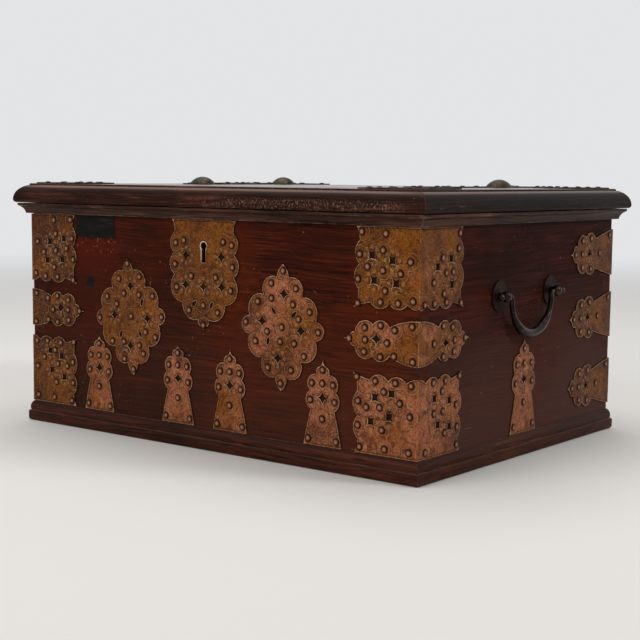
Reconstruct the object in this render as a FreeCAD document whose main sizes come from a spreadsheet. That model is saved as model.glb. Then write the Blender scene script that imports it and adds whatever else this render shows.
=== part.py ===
import FreeCAD, Part
import math
import os
import re

import Sketcher
from FreeCAD import Placement, Rotation, Vector

# A wooden storage box: dovetailed carcass, mitred mouldings, hinged lid, box lock, drop handles and
# pierced sheet mounts held by round-headed nails. +X is right, +Y is back, +Z is up.
doc = FreeCAD.newDocument("storage_box")
sizes = doc.addObject("Spreadsheet::Sheet", "sizes")

driving = {
    # carcass
    "saw_margin": 2,
    "carcass_width": 466,
    "carcass_depth": 339,
    "wall_height": 207.7,
    "wall_thickness": 15,
    "floor_thickness": 12,
    "pin_count": 4,
    "pin_mouth": 10,
    "pin_root": 16,
    # plinth moulding
    "plinth_height": 20,
    "plinth_reach": 5,
    "plinth_toe": 2.4,
    "plinth_band": 10.4,
    "plinth_shoulder": 1.4,
    "plinth_neck": 0.5,
    "plinth_lip": 0.8,
    "plinth_ovolo": 9,
    # rim moulding
    "rim_height": 10.2,
    "rim_foot": 5.2,
    "rim_reach": 11,
    "rim_bead": 2.6,
    "rim_bead_radius": 3,
    "rim_quirk": 0.3,
    "rim_cove": 9,
    # lid
    "lid_gap": 0.5,
    "lid_thickness": 19,
    "lid_overhang": 14,
    "lid_frame": 48,
    "lid_step_reach": 2.4,
    "lid_step_height": 1.7,
    "lid_step_round": 1.2,
    "lid_underlip_height": 2.8,
    "lid_underlip_reach": 2.9,
    "lid_underlip_round": 3,
    "lid_thumbnail": 14.5,
    "tongue_length": 8,
    "tongue_thickness": 7,
    # sheet mounts and their nails
    "plate_thickness": 1,
    "plate_gap": 0.6,
    "star_reach": 5.8,
    "star_waist": 1.95,
    "slit_length": 8,
    "slit_width": 3.6,
    "nail_head_radius": 2.7,
    "nail_head_height": 1,
    "nail_shank_radius": 0.9,
    "nail_length": 5.4,
    "nail_clearance": 0.05,
    # front mounts
    "lock_plate_width": 84,
    "lock_plate_height": 100,
    "medallion_width": 92,
    "medallion_height": 110,
    "left_medallion_share": 0.2021,
    "left_medallion_rise": 0.15,
    "left_medallion_tilt": 4.3,
    "right_medallion_share": 0.1974,
    "right_medallion_rise": 3.75,
    "right_medallion_tilt": -0.7,
    "foot_strap_width": 40,
    "foot_strap_height": 73,
    "outer_foot_inset": 96,
    "inner_foot_share": 0.0687,
    "corner_plate_reach": 64,
    "corner_plate_height": 67,
    "middle_plate_reach": 74,
    "middle_plate_height": 37,
    "middle_plate_rise": 0.75,
    # side and back mounts
    "side_strap_width": 45,
    "side_strap_length": 85,
    "upper_strap_drop": 31.9,
    "lower_strap_rise": 28.4,
    # lid mounts
    "lid_plate_size": 62,
    "lid_plate_inset": 5,
    "lid_strap_width": 44,
    "lid_strap_length": 218,
    "lid_strap_inset": 94,
    "dome_radius": 13,
    "dome_height": 7,
    "dome_shank_radius": 2.5,
    "dome_shank_length": 9,
    "rear_dome_seat": 57,
    "front_dome_seat": 189,
    # hinges
    "hinge_length": 50,
    "hinge_setback": 11.5,
    "knuckle_radius": 2.4,
    "knuckle_count": 5,
    "knuckle_gap": 0.3,
    "knuckle_room": 0.4,
    "hinge_pin_radius": 1.2,
    "hinge_pin_clearance": 0.3,
    "leaf_thickness": 1.4,
    "leaf_depth": 22,
    "screw_head_radius": 2,
    "screw_shank_radius": 1.1,
    "screw_length": 9,
    "screw_spacing": 16,
    # lock
    "lock_width": 68,
    "lock_height": 58,
    "lock_depth": 10,
    "lock_wall": 1.5,
    "lock_cap_margin": 8,
    "keyhole_drop": 34.2,
    "keyhole_radius": 3.6,
    "keyhole_slot_width": 4.8,
    "keyhole_slot_drop": 15,
    "bolt_drop": 19.7,
    "bolt_height": 8,
    "bolt_tail": 18,
    "bolt_nose": 10.5,
    "bolt_nose_thickness": 2.6,
    "bolt_clearance": 0.3,
    "ledge_height": 3.5,
    "ledge_reach": 20,
    "spring_thickness": 0.8,
    "spring_reach": 14,
    "spring_foot": 6,
    "spring_rise": 2,
    "catch_width": 6,
    "catch_sheet": 3.5,
    "catch_drop": 22.7,
    "catch_rim": 1.3,
    "catch_room": 1.5,
    "staple_length": 36,
    "staple_width": 14,
    "staple_sheet": 1.5,
    # handles
    "handle_drop": 73.2,
    "handle_spacing": 91,
    "handle_offset": 7.5,
    "post_ball_radius": 5,
    "post_neck_radius": 3.4,
    "post_shank_radius": 2.6,
    "post_clearance": 0.05,
    "peen_radius": 4,
    "peen_height": 1.2,
    "washer_radius": 7,
    "washer_thickness": 1.5,
    "rose_width": 25,
    "rose_height": 28,
    "rose_thickness": 1.4,
    "bail_drop": 35,
    "bail_half_width": 35.5,
    "bail_end_radius": 2,
    "bail_limb_radius": 2.45,
    "bail_grip_radius": 4.3,
    "bail_thin_share": 0.42,
    "bail_full_share": 0.84,
    "bail_elbow": 4,
    "bail_knob_radius": 3.4,
    "bail_clearance": 0.3,
    # repairs in the front board
    "patch_width": 51.5,
    "patch_height": 20.4,
    "patch_depth": 3,
    "patch_inset": 90.5,
    "plug_radius": 6,
    "plug_depth": 5,
    "plug_inset": 83.5,
    "plug_drop": 75.7,
}
for row, (alias, number) in enumerate(driving.items(), start=1):
    sizes.set(f"A{row}", alias)
    sizes.set(f"B{row}", str(number))
    sizes.setAlias(f"B{row}", alias)
doc.recompute()


# Formulas are written with the sheet's aliases, which all hold an underscore
def cell(formula):
    return re.sub(r"[a-z]+(?:_[a-z]+)+", lambda word: "sizes." + word.group(), formula)


def value(formula):
    return float(sizes.evalExpression(cell(formula)))


half_width = "(carcass_width / 2)"
half_depth = "(carcass_depth / 2)"
wall_top = "(floor_thickness + wall_height)"
rim_bottom = f"({wall_top} - rim_height)"
lid_bottom = f"({wall_top} + lid_gap)"
lid_top = f"({lid_bottom} + lid_thickness)"
mount_top = f"({rim_bottom} - plate_gap)"
mount_bottom = "(plinth_height + plate_gap)"
inner_front = f"(wall_thickness - {half_depth})"
lock_front = f"({inner_front} - lock_depth)"
lock_bottom = f"({wall_top} - lock_height)"
lock_room = "(lock_depth - lock_wall)"
catch_middle = f"({inner_front} - {lock_room} / 2)"
hinge_line = f"({half_depth} + hinge_setback)"
hinge_level = f"({wall_top} + lid_gap / 2)"
leaf_back = f"({hinge_line} - knuckle_radius - knuckle_gap)"
bail_line = f"({half_width} + handle_offset)"
mount_middle = f"(({mount_top} + {mount_bottom}) / 2)"
middle_plate_level = f"({mount_middle} + middle_plate_rise)"
strap_line = f"({half_width} - lid_strap_inset)"
keyhole_level = f"({wall_top} - keyhole_drop)"
bolt_level = f"({wall_top} - bolt_drop)"
handle_level = f"({wall_top} - handle_drop)"

upright = Rotation(Vector(1, 0, 0), 90)
turns = {"front": 0, "right": 90, "back": 180, "left": 270}
along_x = Rotation(Vector(0, 1, 0), 90)
against_x = Rotation(Vector(0, 1, 0), -90)
along_y = Rotation(Vector(1, 0, 0), -90)
flat = Rotation()
hinge_sides = {"left": -1, "right": 1}
pieces = []
nails = {"front": [], "right": [], "back": [], "left": [], "lid": []}


# Turns a flat shape drawn with x across and y up to face outward on one side of the box
def facing(side):
    return Rotation(Vector(0, 0, 1), turns[side]) * upright


def point(x, y, z):
    return Vector(value(x), value(y), value(z))


def bind(item, formulas):
    for name, formula in formulas.items():
        item.setExpression(name, cell(formula))


def place(item, x, y, z, rotation=flat):
    item.Placement = Placement(point(x, y, z), rotation)
    bind(item, {"Placement.Base.x": x, "Placement.Base.y": y, "Placement.Base.z": z})
    return item


def piece(item):
    pieces.append(item)
    return item


def box(name, size, corner, rotation=flat):
    item = doc.addObject("Part::Box", name)
    bind(item, dict(zip(("Length", "Width", "Height"), size)))
    return place(item, *corner, rotation)


def cylinder(name, radius, length, start, rotation=flat):
    item = doc.addObject("Part::Cylinder", name)
    bind(item, {"Radius": radius, "Height": length})
    return place(item, *start, rotation)


def ball(name, radius, centre):
    item = doc.addObject("Part::Sphere", name)
    bind(item, {"Radius": radius})
    return place(item, *centre)


def fuse(name, members):
    item = doc.addObject("Part::MultiFuse", name)
    item.Shapes = members
    return item


def cut(name, base, tools):
    item = doc.addObject("Part::Cut", name)
    item.Base = base
    item.Tool = tools[0] if len(tools) == 1 else fuse(name + "_tools", tools)
    return item


def group(name, members):
    item = doc.addObject("Part::Compound", name)
    item.Links = members
    return piece(item)


def shaped(name, shape, position=Placement()):
    item = doc.addObject("Part::Feature", name)
    item.Shape = shape
    item.Placement = position
    return item


# Sketches. A corner is (x, y), or (x, y, radius, turn) where an arc leaves it, turning left (1) or right (-1)
def arc(start, end, radius, turn):
    chord = end - start
    rise = math.sqrt(radius**2 - (chord.Length / 2) ** 2)
    left = Vector(-chord.y, chord.x, 0).normalize()
    centre = (start + end) * 0.5 + left * (rise * turn)
    first, last = (start, end) if turn > 0 else (end, start)
    angles = [math.atan2(spot.y - centre.y, spot.x - centre.x) for spot in (first, last)]
    if angles[1] < angles[0]:
        angles[1] += 2 * math.pi
    return Part.ArcOfCircle(Part.Circle(centre, Vector(0, 0, 1), radius), *angles)


def sketch(body, name):
    item = body.newObject("Sketcher::SketchObject", name)
    plane = next(feature for feature in body.Origin.OriginFeatures if feature.Role == "XY_Plane")
    item.AttachmentSupport = [(plane, "")]
    item.MapMode = "FlatFace"
    return item


def constrain(item, formula, kind, *where):
    number = item.addConstraint(Sketcher.Constraint(kind, *where, value(formula)))
    item.setExpression(f"Constraints[{number}]", cell(formula))


def hold(item, edge, end, x, y):
    for kind, axis, formula in (("DistanceX", -2, x), ("DistanceY", -1, y)):
        if formula == "0":
            item.addConstraint(Sketcher.Constraint("PointOnObject", edge, end, axis))
        else:
            constrain(item, formula, kind, -1, 1, edge, end)


def draw(item, corners):
    spots = [point(corner[0], corner[1], "0") for corner in corners]
    first = item.GeometryCount
    ends = []
    for index, corner in enumerate(corners):
        start, end = spots[index], spots[(index + 1) % len(corners)]
        bends = len(corner) == 4
        edge = arc(start, end, value(corner[2]), corner[3]) if bends else Part.LineSegment(start, end)
        item.addGeometry(edge)
        ends.append((2, 1) if bends and corner[3] < 0 else (1, 2))
    for index, corner in enumerate(corners):
        edge = first + index
        after = (index + 1) % len(corners)
        meeting = (edge, ends[index][1], first + after, ends[after][0])
        item.addConstraint(Sketcher.Constraint("Coincident", *meeting))
        hold(item, edge, ends[index][0], corner[0], corner[1])
        if len(corner) == 4:
            constrain(item, corner[2], "Radius", edge)


def draw_circle(item, x, y, radius):
    circle = item.addGeometry(Part.Circle(point(x, y, "0"), Vector(0, 0, 1), value(radius)))
    hold(item, circle, 3, x, y)
    constrain(item, radius, "Radius", circle)


def pad(body, name, corners, length):
    profile = sketch(body, name + "_profile")
    draw(profile, corners)
    item = body.newObject("PartDesign::Pad", name + "_pad")
    item.Profile = profile
    bind(item, {"Length": length})
    return item


def pocket(body, name, profile):
    item = body.newObject("PartDesign::Pocket", name)
    item.Profile = profile
    item.Type = "ThroughAll"
    item.SideType = "Symmetric"
    return item


# Carcass: the side boards carry the tails, and the front and back boards are cut to fit round them
def side_board(side, x):
    body = doc.addObject("PartDesign::Body", f"{side}_board")
    corners = [("0", "0"), ("carcass_depth", "0"), ("carcass_depth", "wall_height"), ("0", "wall_height")]
    pad(body, f"{side}_board", corners, "wall_thickness")
    pitch = "(wall_height / pin_count)"
    mouth = [f"({pitch} / 2 {sign} pin_mouth / 2)" for sign in "-+"]
    root = [f"({pitch} / 2 {sign} pin_root / 2)" for sign in "-+"]
    inner = "(carcass_depth - wall_thickness)"
    sockets = sketch(body, f"{side}_sockets")
    draw(sockets, [("0", mouth[0]), ("wall_thickness", root[0]), ("wall_thickness", root[1]), ("0", mouth[1])])
    far_end = [("carcass_depth", mouth[0]), ("carcass_depth", mouth[1]), (inner, root[1]), (inner, root[0])]
    draw(sockets, far_end)
    sawn = pocket(body, f"{side}_socket_cut", sockets)
    pattern = body.newObject("PartDesign::LinearPattern", f"{side}_socket_row")
    pattern.Originals = [sawn]
    pattern.Direction = (sockets, ["V_Axis"])
    bind(pattern, {"Length": f"{pitch} * (pin_count - 1)", "Occurrences": "pin_count"})
    body.Tip = pattern
    holes = sketch(body, f"{side}_post_holes")
    for sign in "-+":
        across = f"({half_depth} {sign} handle_spacing / 2)"
        level = f"({handle_level} - floor_thickness)"
        draw_circle(holes, across, level, "(post_shank_radius + post_clearance)")
    pocket(body, f"{side}_post_hole_cut", holes)
    return piece(place(body, x, f"-{half_depth}", "floor_thickness", Rotation(Vector(1, 1, 1), 120)))


side_boards = [side_board("left", f"-{half_width}"), side_board("right", f"({half_width} - wall_thickness)")]

floor_corner = (f"-{half_width}", f"-{half_depth}", "0")
piece(box("bottom_board", ("carcass_width", "carcass_depth", "floor_thickness"), floor_corner))

board_size = ("carcass_width", "wall_thickness", "wall_height")
front_blank = box("front_blank", board_size, (f"-{half_width}", f"-{half_depth}", "floor_thickness"))
back_corner = (f"-{half_width}", f"{half_depth} - wall_thickness", "floor_thickness")
back_blank = box("back_blank", board_size, back_corner)

# Lock, let into the inner face of the front board
lock_corner = ("-lock_width / 2", lock_front, lock_bottom)
lock_size = ("lock_width", "lock_depth", "lock_height")
lock_mortise = box("lock_mortise", lock_size, lock_corner)
keyhole_length = f"({lock_front} + lock_wall + lock_depth / 4 + {half_depth})"
keyhole_start = ("0", f"-{half_depth}", keyhole_level)
keyhole_eye = cylinder("keyhole_eye", "keyhole_radius", keyhole_length, keyhole_start, along_y)
slot_size = ("keyhole_slot_width", keyhole_length, "keyhole_slot_drop")
slot_corner = ("-keyhole_slot_width / 2", f"-{half_depth}", f"{keyhole_level} - keyhole_slot_drop")
keyhole = [keyhole_eye, box("keyhole_slot", slot_size, slot_corner)]

# Repairs: a let-in patch under the rim, and a round plug
patch_left = f"(patch_inset - {half_width} - patch_width / 2)"
patch_corner = (patch_left, f"-{half_depth}", f"{rim_bottom} - patch_height")
repair_patch = box("repair_patch", ("patch_width", "patch_depth", "patch_height"), patch_corner)
plug_start = (f"(plug_inset - {half_width})", f"-{half_depth}", f"({wall_top} - plug_drop)")
repair_plug = cylinder("repair_plug", "plug_radius", "plug_depth", plug_start, along_y)
group("front_repairs", [repair_patch, repair_plug])

front_cuts = [*side_boards, lock_mortise, *keyhole, repair_patch, repair_plug]
piece(cut("front_board", front_blank, front_cuts))


def lock():
    left_wall = "(-lock_width / 2 + lock_wall)"
    inner_face = f"({lock_front} + lock_wall)"
    outer = box("lock_outer", lock_size, lock_corner)
    cavity_size = ("lock_width - 2 * lock_wall", lock_room, "lock_height - 2 * lock_wall")
    cavity = box("lock_cavity", cavity_size, (left_wall, inner_face, f"{lock_bottom} + lock_wall"))
    gate_size = ("catch_sheet + 2 * catch_room", lock_room, "lock_wall")
    gate_corner = ("-catch_sheet / 2 - catch_room", inner_face, f"{wall_top} - lock_wall")
    gate = box("lock_gate", gate_size, gate_corner)
    hollow = cut("lock_hollow", outer, [cavity, gate, *keyhole])
    ledge_corner = (left_wall, inner_face, f"{bolt_level} - bolt_clearance - ledge_height")
    ledge = box("lock_ledge", ("ledge_reach", lock_room, "ledge_height"), ledge_corner)
    piece(fuse("lock_case", [hollow, ledge]))

    tail_size = ("bolt_tail", f"{lock_room} - 2 * bolt_clearance", "bolt_height")
    tail_start = f"({left_wall} + bolt_clearance)"
    tail = box("bolt_tail_bar", tail_size, (tail_start, f"{inner_face} + bolt_clearance", bolt_level))
    nose_corner = (f"{tail_start} + bolt_tail", f"{catch_middle} - bolt_nose_thickness / 2", bolt_level)
    nose = box("bolt_nose_bar", ("bolt_nose", "bolt_nose_thickness", "bolt_height"), nose_corner)
    piece(fuse("lock_bolt", [tail, nose]))

    spring = doc.addObject("PartDesign::Body", "lock_spring")
    strip = [
        ("0", "spring_rise"),
        ("spring_reach", "0"),
        ("spring_reach", "spring_thickness"),
        ("spring_thickness", "spring_rise + spring_thickness"),
        ("spring_thickness", "spring_foot"),
        ("0", "spring_foot"),
    ]
    pad(spring, "lock_spring", strip, f"{lock_room} - 2 * bolt_clearance")
    spring_level = f"{bolt_level} + bolt_height + bolt_clearance"
    piece(place(spring, left_wall, f"{inner_front} - bolt_clearance", spring_level, upright))


lock()


# Countersunk screws and round-headed nails are turned about +Z, with the head's underside at the origin
def turned(corners):
    rim = Part.makePolygon([Vector(r, 0, h) for r, h in corners + corners[:1]])
    return Part.Face(rim).revolve(Vector(0, 0, 0), Vector(0, 0, 1), 360)


def screw(clearance=0.0):
    head = value("screw_head_radius") + clearance
    shank = value("screw_shank_radius") + clearance
    sink = value("leaf_thickness")
    length = value("screw_length")
    return turned([(0, 0), (head, 0), (shank, -sink), (shank, -length), (0, -length)])


def domed(radius, height, shank, length):
    curve = (radius**2 + height**2) / (2 * height)
    lean = math.asin(radius / curve) / 2
    shoulder = Vector(curve * math.sin(lean), 0, height - curve + curve * math.cos(lean))
    crown = Part.Arc(Vector(0, 0, height), shoulder, Vector(radius, 0, 0)).toShape()
    corners = [(radius, 0), (shank, 0), (shank, -length), (0, -length), (0, height)]
    sides = Part.makePolygon([Vector(r, 0, h) for r, h in corners])
    return Part.Face(Part.Wire([crown, *sides.Edges])).revolve(Vector(0, 0, 0), Vector(0, 0, 1), 360)


def copies(shape, spots):
    placed = []
    for spot in spots:
        one = shape.copy()
        one.Placement = spot
        placed.append(one)
    return Part.makeCompound(placed)


cap_corner = ("-lock_width / 2 - lock_cap_margin", inner_front, lock_bottom)
cap_blank = box("cap_blank", ("lock_width + 2 * lock_cap_margin", "lock_wall", "lock_height"), cap_corner)
cap_screws = []
for side in hinge_sides.values():
    for level in (f"{lock_bottom} + lock_cap_margin / 2", f"{wall_top} - lock_cap_margin / 2"):
        spot = point(f"{side} * (lock_width + lock_cap_margin) / 2", f"{inner_front} + lock_wall", level)
        cap_screws.append(Placement(spot, facing("back")))
cap_holes = shaped("cap_holes", copies(screw(value("nail_clearance")), cap_screws))
piece(cut("lock_cap", cap_blank, [cap_holes]))
piece(shaped("lock_screws", copies(screw(), cap_screws)))

# Hinges: leaves let in flush above and below the parting line, with interleaved knuckles on one pin
front_edge = f"({leaf_back} - leaf_depth)"
leaf_run = f"({hinge_line} - {front_edge})"
leaf_levels = {"box": f"({wall_top} - leaf_thickness)", "lid": lid_bottom}
screw_row = f"({half_depth} - wall_thickness / 2)"
knuckle_pitch = "(hinge_length / knuckle_count)"
recesses = {"box": [], "lid": []}
leaf_screws = {"box": [], "lid": []}


def hinge_leaf(kind, side, knuckles):
    name = f"hinge_leaf_{kind}_{side}"
    left_end = f"({hinge_sides[side]} * {strap_line} - hinge_length / 2)"
    level = leaf_levels[kind]
    plate_size = ("hinge_length", "leaf_depth", "leaf_thickness")
    plate = box(f"{name}_plate", plate_size, (left_end, front_edge, level))
    members = [plate]
    for number in knuckles:
        start = f"({left_end} + {number} * {knuckle_pitch} + knuckle_gap / 2)"
        length = f"({knuckle_pitch} - knuckle_gap)"
        tab_size = (length, f"{hinge_line} - {leaf_back}", "leaf_thickness")
        members.append(box(f"{name}_tab_{number}", tab_size, (start, leaf_back, level)))
        barrel = (start, hinge_line, hinge_level)
        members.append(cylinder(f"{name}_knuckle_{number}", "knuckle_radius", length, barrel, along_x))
    bore_radius = "hinge_pin_radius" if kind == "box" else "(hinge_pin_radius + hinge_pin_clearance)"
    bore = cylinder(f"{name}_bore", bore_radius, "hinge_length", (left_end, hinge_line, hinge_level), along_x)
    for step in (-1, 0, 1):
        x = f"{hinge_sides[side]} * {strap_line} + {step} * screw_spacing"
        if kind == "box":
            leaf_screws[kind].append(Placement(point(x, screw_row, wall_top), flat))
        else:
            upside_down = Rotation(Vector(1, 0, 0), 180)
            leaf_screws[kind].append(Placement(point(x, screw_row, lid_bottom), upside_down))
    sinks = copies(screw(value("nail_clearance")), leaf_screws[kind][-3:])
    piece(cut(name, fuse(f"{name}_blank", members), [bore, shaped(f"{name}_sinks", sinks)]))
    recess_size = ("hinge_length", leaf_run, "leaf_thickness")
    recesses[kind].append(box(f"{name}_recess", recess_size, (left_end, front_edge, level)))
    groove_start = f"({left_end} - knuckle_room)"
    groove_length = "hinge_length + 2 * knuckle_room"
    groove = (groove_start, hinge_line, hinge_level)
    groove_radius = "knuckle_radius + knuckle_room"
    recesses[kind].append(cylinder(f"{name}_groove", groove_radius, groove_length, groove, along_x))


last_knuckle = int(value("knuckle_count"))
for side, sign in hinge_sides.items():
    hinge_leaf("box", side, range(0, last_knuckle, 2))
    hinge_leaf("lid", side, range(1, last_knuckle, 2))
    pin_start = (f"{sign} * {strap_line} - hinge_length / 2", hinge_line, hinge_level)
    piece(cylinder(f"hinge_pin_{side}", "hinge_pin_radius", "hinge_length", pin_start, along_x))

piece(cut("back_board", back_blank, [*side_boards, *recesses["box"]]))
piece(shaped("hinge_screws", copies(screw(), leaf_screws["box"])))

# Staple under the lid, whose catch drops into the lock for the bolt to pass through
staple_corner = ("-staple_length / 2", f"{catch_middle} - staple_width / 2", lid_bottom)
staple_size = ("staple_length", "staple_width", "staple_sheet")
staple_recess = box("staple_recess", staple_size, staple_corner)


def lid_staple():
    plate = box("staple_plate", staple_size, staple_corner)
    catch_corner = ("-catch_sheet / 2", f"{catch_middle} - catch_width / 2", f"{lid_bottom} - catch_drop")
    catch = box("staple_catch", ("catch_sheet", "catch_width", "catch_drop"), catch_corner)
    eye_size = ("catch_sheet", "catch_width - 2 * catch_rim", "bolt_height + 2 * bolt_clearance")
    eye_front = f"{catch_middle} - catch_width / 2 + catch_rim"
    eye_corner = ("-catch_sheet / 2", eye_front, f"{bolt_level} - bolt_clearance")
    spots = []
    for sign in hinge_sides.values():
        spot = point(f"{sign} * staple_length / 3", catch_middle, lid_bottom)
        spots.append(Placement(spot, Rotation(Vector(1, 0, 0), 180)))
    sinks = shaped("staple_sinks", copies(screw(value("nail_clearance")), spots))
    eye = box("staple_eye", eye_size, eye_corner)
    piece(cut("lid_staple", fuse("staple_blank", [plate, catch]), [eye, sinks]))
    piece(shaped("lid_screws", copies(screw(), leaf_screws["lid"] + spots)))


lid_staple()

# Mitred mouldings: each profile is drawn outward from its inner edge and up
groove_bottom = "(lid_thickness - tongue_thickness) / 2"
groove_top = "(lid_thickness + tongue_thickness) / 2"
step_edge = "(lid_frame - lid_overhang + lid_step_reach)"
plinth_profile = [
    ("0", "0"),
    ("plinth_reach - plinth_toe", "0", "plinth_toe", 1),
    ("plinth_reach", "plinth_toe"),
    ("plinth_reach", "plinth_band - plinth_shoulder", "plinth_shoulder", 1),
    ("plinth_reach - plinth_shoulder", "plinth_band"),
    ("plinth_reach - plinth_shoulder - plinth_neck", "plinth_band", "plinth_ovolo", 1),
    ("plinth_lip", "plinth_height"),
    ("0", "plinth_height"),
]
rim_profile = [
    ("0", "0"),
    ("rim_foot", "0", "rim_cove", -1),
    ("rim_reach - 2 * rim_quirk", "rim_height - rim_bead"),
    ("rim_reach - rim_quirk", "rim_height - rim_bead", "rim_bead_radius", 1),
    ("rim_reach - rim_quirk", "rim_height"),
    ("0", "rim_height"),
]
lid_profile = [
    ("0", "0"),
    ("lid_frame - lid_underlip_reach", "0", "lid_underlip_round", 1),
    ("lid_frame", "lid_underlip_height", "lid_thumbnail", 1),
    (step_edge, "lid_thickness - lid_step_height"),
    (step_edge, "lid_thickness - lid_step_round", "lid_step_round", 1),
    (f"{step_edge} - lid_step_round", "lid_thickness"),
    ("0", "lid_thickness"),
    ("0", groove_top),
    ("tongue_length", groove_top),
    ("tongue_length", groove_bottom),
    ("0", groove_bottom),
]


# Each length is padded square, then both ends are sawn at 45 degrees from the outer corner inwards
def moulding(name, side, profile, width, height, overhang, level, cuts):
    if side in ("front", "back"):
        span, across = "carcass_width", half_depth
    else:
        span, across = "carcass_depth", half_width
    run = f"({span} + 2 * {overhang})"
    distance = f"({across} + {overhang} - {width})"
    label = f"{name}_{side}"
    square = doc.addObject("PartDesign::Body", f"{label}_square")
    pad(square, label, profile, run)
    blade = f"({width} + 2 * saw_margin)"
    blade_size = (f"sqrt(2) * {blade}", f"{height} + 2 * saw_margin", f"sqrt(2) * {blade}")
    first_corner = (f"({width} - 3 * {blade}) / 2", "-saw_margin", f"({width} - {blade}) / 2")
    last_corner = (f"({width} - {blade}) / 2", "-saw_margin", f"{run} - ({width} + {blade}) / 2")
    first_saw = box(f"{label}_first_saw", blade_size, first_corner, Rotation(Vector(0, 1, 0), 45))
    last_saw = box(f"{label}_last_saw", blade_size, last_corner, Rotation(Vector(0, 1, 0), -45))
    mitred = cut(f"{label}_mitred" if cuts else label, square, [first_saw, last_saw])
    starts = {
        "right": (distance, f"{run} / 2"),
        "front": (f"{run} / 2", f"-{distance}"),
        "left": (f"-{distance}", f"-{run} / 2"),
        "back": (f"-{run} / 2", distance),
    }
    outward = Rotation(Vector(0, 0, 1), turns[side] - 90) * upright
    place(mitred, *starts[side], level, outward)
    piece(cut(label, mitred, cuts) if cuts else mitred)


for side in turns:
    rim_cuts = recesses["box"] if side == "back" else []
    lid_cuts = {"back": recesses["lid"], "front": [staple_recess]}.get(side, [])
    moulding("plinth", side, plinth_profile, "plinth_reach", "plinth_height", "plinth_reach", "0", [])
    moulding("rim_moulding", side, rim_profile, "rim_reach", "rim_height", "rim_reach", rim_bottom, rim_cuts)
    lid_sizes = ("lid_frame", "lid_thickness", "lid_overhang")
    moulding("lid_moulding", side, lid_profile, *lid_sizes, lid_bottom, lid_cuts)


# Lid panel, with a tongue all round in the mouldings' groove
def lid_slab(name, margin, thickness, level):
    spans = ("carcass_width", "carcass_depth")
    extent = [f"({span} + 2 * (lid_overhang - lid_frame + {margin}))" for span in spans]
    return box(name, (*extent, thickness), (f"-{extent[0]} / 2", f"-{extent[1]} / 2", level))


panel_core = lid_slab("panel_core", "0", "lid_thickness", lid_bottom)
panel_tongue = lid_slab("panel_tongue", "tongue_length", "tongue_thickness", f"{lid_bottom} + {groove_bottom}")
piece(fuse("lid_panel", [panel_core, panel_tongue]))

# Sheet mounts. An outline step is (x, y) for a straight edge, or (via x, via y, x, y) for an arc. Each outline
# is drawn once in millimetres and stretched to the width and height in the sheet.
medallion_quarter = [
    (0, 55),
    (4.4, 50.2, 6.6, 43.6),
    (19.6, 40.4, 21.3, 27.6),
    (35.4, 23, 36.6, 8.2),
    (43.2, 5.6, 46, 0),
]
strap_half = [
    (20, 0),
    (17, 14, 12.6, 31),
    (18, 39.5, 13.8, 47),
    (16.3, 54, 6.6, 61.5),
    (6.9, 64.6, 4.8, 67.6),
    (1.7, 69.3, 0, 73),
]
lock_plate_half = [
    (39, 0),
    (36, -6, 35.5, -11),
    (41, -21, 36.5, -30.5),
    (42, -40.5, 36, -50.5),
    (40.5, -63, 26, -75.5),
    (21.5, -87, 6.5, -90),
    (6.6, -93, 4.6, -95.6),
    (1.6, -97, 0, -100),
]
corner_leaf = [
    (0, 67),
    (62, 67),
    (59.6, 61.5, 58.5, 55.5),
    (63.3, 45.5, 58.5, 36),
    (64, 25.5, 59.5, 15.5),
    (60, 7),
    (64, 0),
    (55, 3.2, 47, 4.8),
    (38, 0, 28.5, 4.8),
    (19.5, 0.3, 10.5, 5),
    (5, 1.6, 0, 0.6),
]
middle_leaf_half = [
    (0, 18.5),
    (14, 17, 28, 11.8),
    (36.5, 17, 44.5, 13),
    (55, 15.6, 62.5, 6.2),
    (65.4, 5.6, 67.5, 3.6),
    (70.3, 1.4, 74, 0),
]
lid_plate_half = [
    (0, 0),
    (62, 0),
    (58.6, 5, 57.5, 11),
    (62, 19.5, 57, 28),
    (61, 37, 54.5, 44.5),
    (54.4, 54.4),
]
lid_strap_half = [
    (22, 0),
    (14.5, 20, 12.5, 40),
    (19, 57, 12.5, 74),
    (10, 120, 11.5, 167),
    (19, 178, 15, 187),
    (18.5, 196.5, 7, 205.5),
    (7.2, 208.5, 5, 211.8),
    (1.8, 213.6, 0, 218),
]


def reverse(steps):
    ends = [step[-2:] for step in steps]
    bends = [step[:-2] for step in steps]
    return [ends[-1]] + [(*bends[index], *ends[index - 1]) for index in range(len(steps) - 1, 0, -1)]


def flip(steps, across):
    return [tuple(-n if i % 2 == across else n for i, n in enumerate(step)) for step in steps]


def swap(steps):
    return [tuple(n for i in range(0, len(step), 2) for n in (step[i + 1], step[i])) for step in steps]


def mirrored(steps, across):
    return steps + reverse(flip(steps, across))[1:]


def stretch(steps, wide, high):
    return [tuple(n * (wide, high)[i % 2] for i, n in enumerate(step)) for step in steps]


# How much an outline has to grow across and up to reach the sheet's width and height
def ratios(outline, width, height):
    spans = []
    for across in (0, 1):
        numbers = [n for step in outline for i, n in enumerate(step) if i % 2 == across]
        spans.append(max(numbers) - min(numbers))
    return value(width) / spans[0], value(height) / spans[1]


def wire(steps):
    start = Vector(*steps[0][-2:], 0)
    first = start
    edges = []
    for step in steps[1:]:
        end = Vector(*step[-2:], 0)
        if len(step) == 4:
            edges.append(Part.Arc(start, Vector(*step[:2], 0), end).toShape())
        elif end.distanceToPoint(start) > Part.Precision.confusion():
            edges.append(Part.makeLine(start, end))
        start = end
    if start.distanceToPoint(first) > Part.Precision.confusion():
        edges.append(Part.makeLine(start, first))
    return Part.Wire(edges)


def moved(steps, x, y):
    return [tuple(n + (x, y)[i % 2] for i, n in enumerate(step)) for step in steps]


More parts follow.
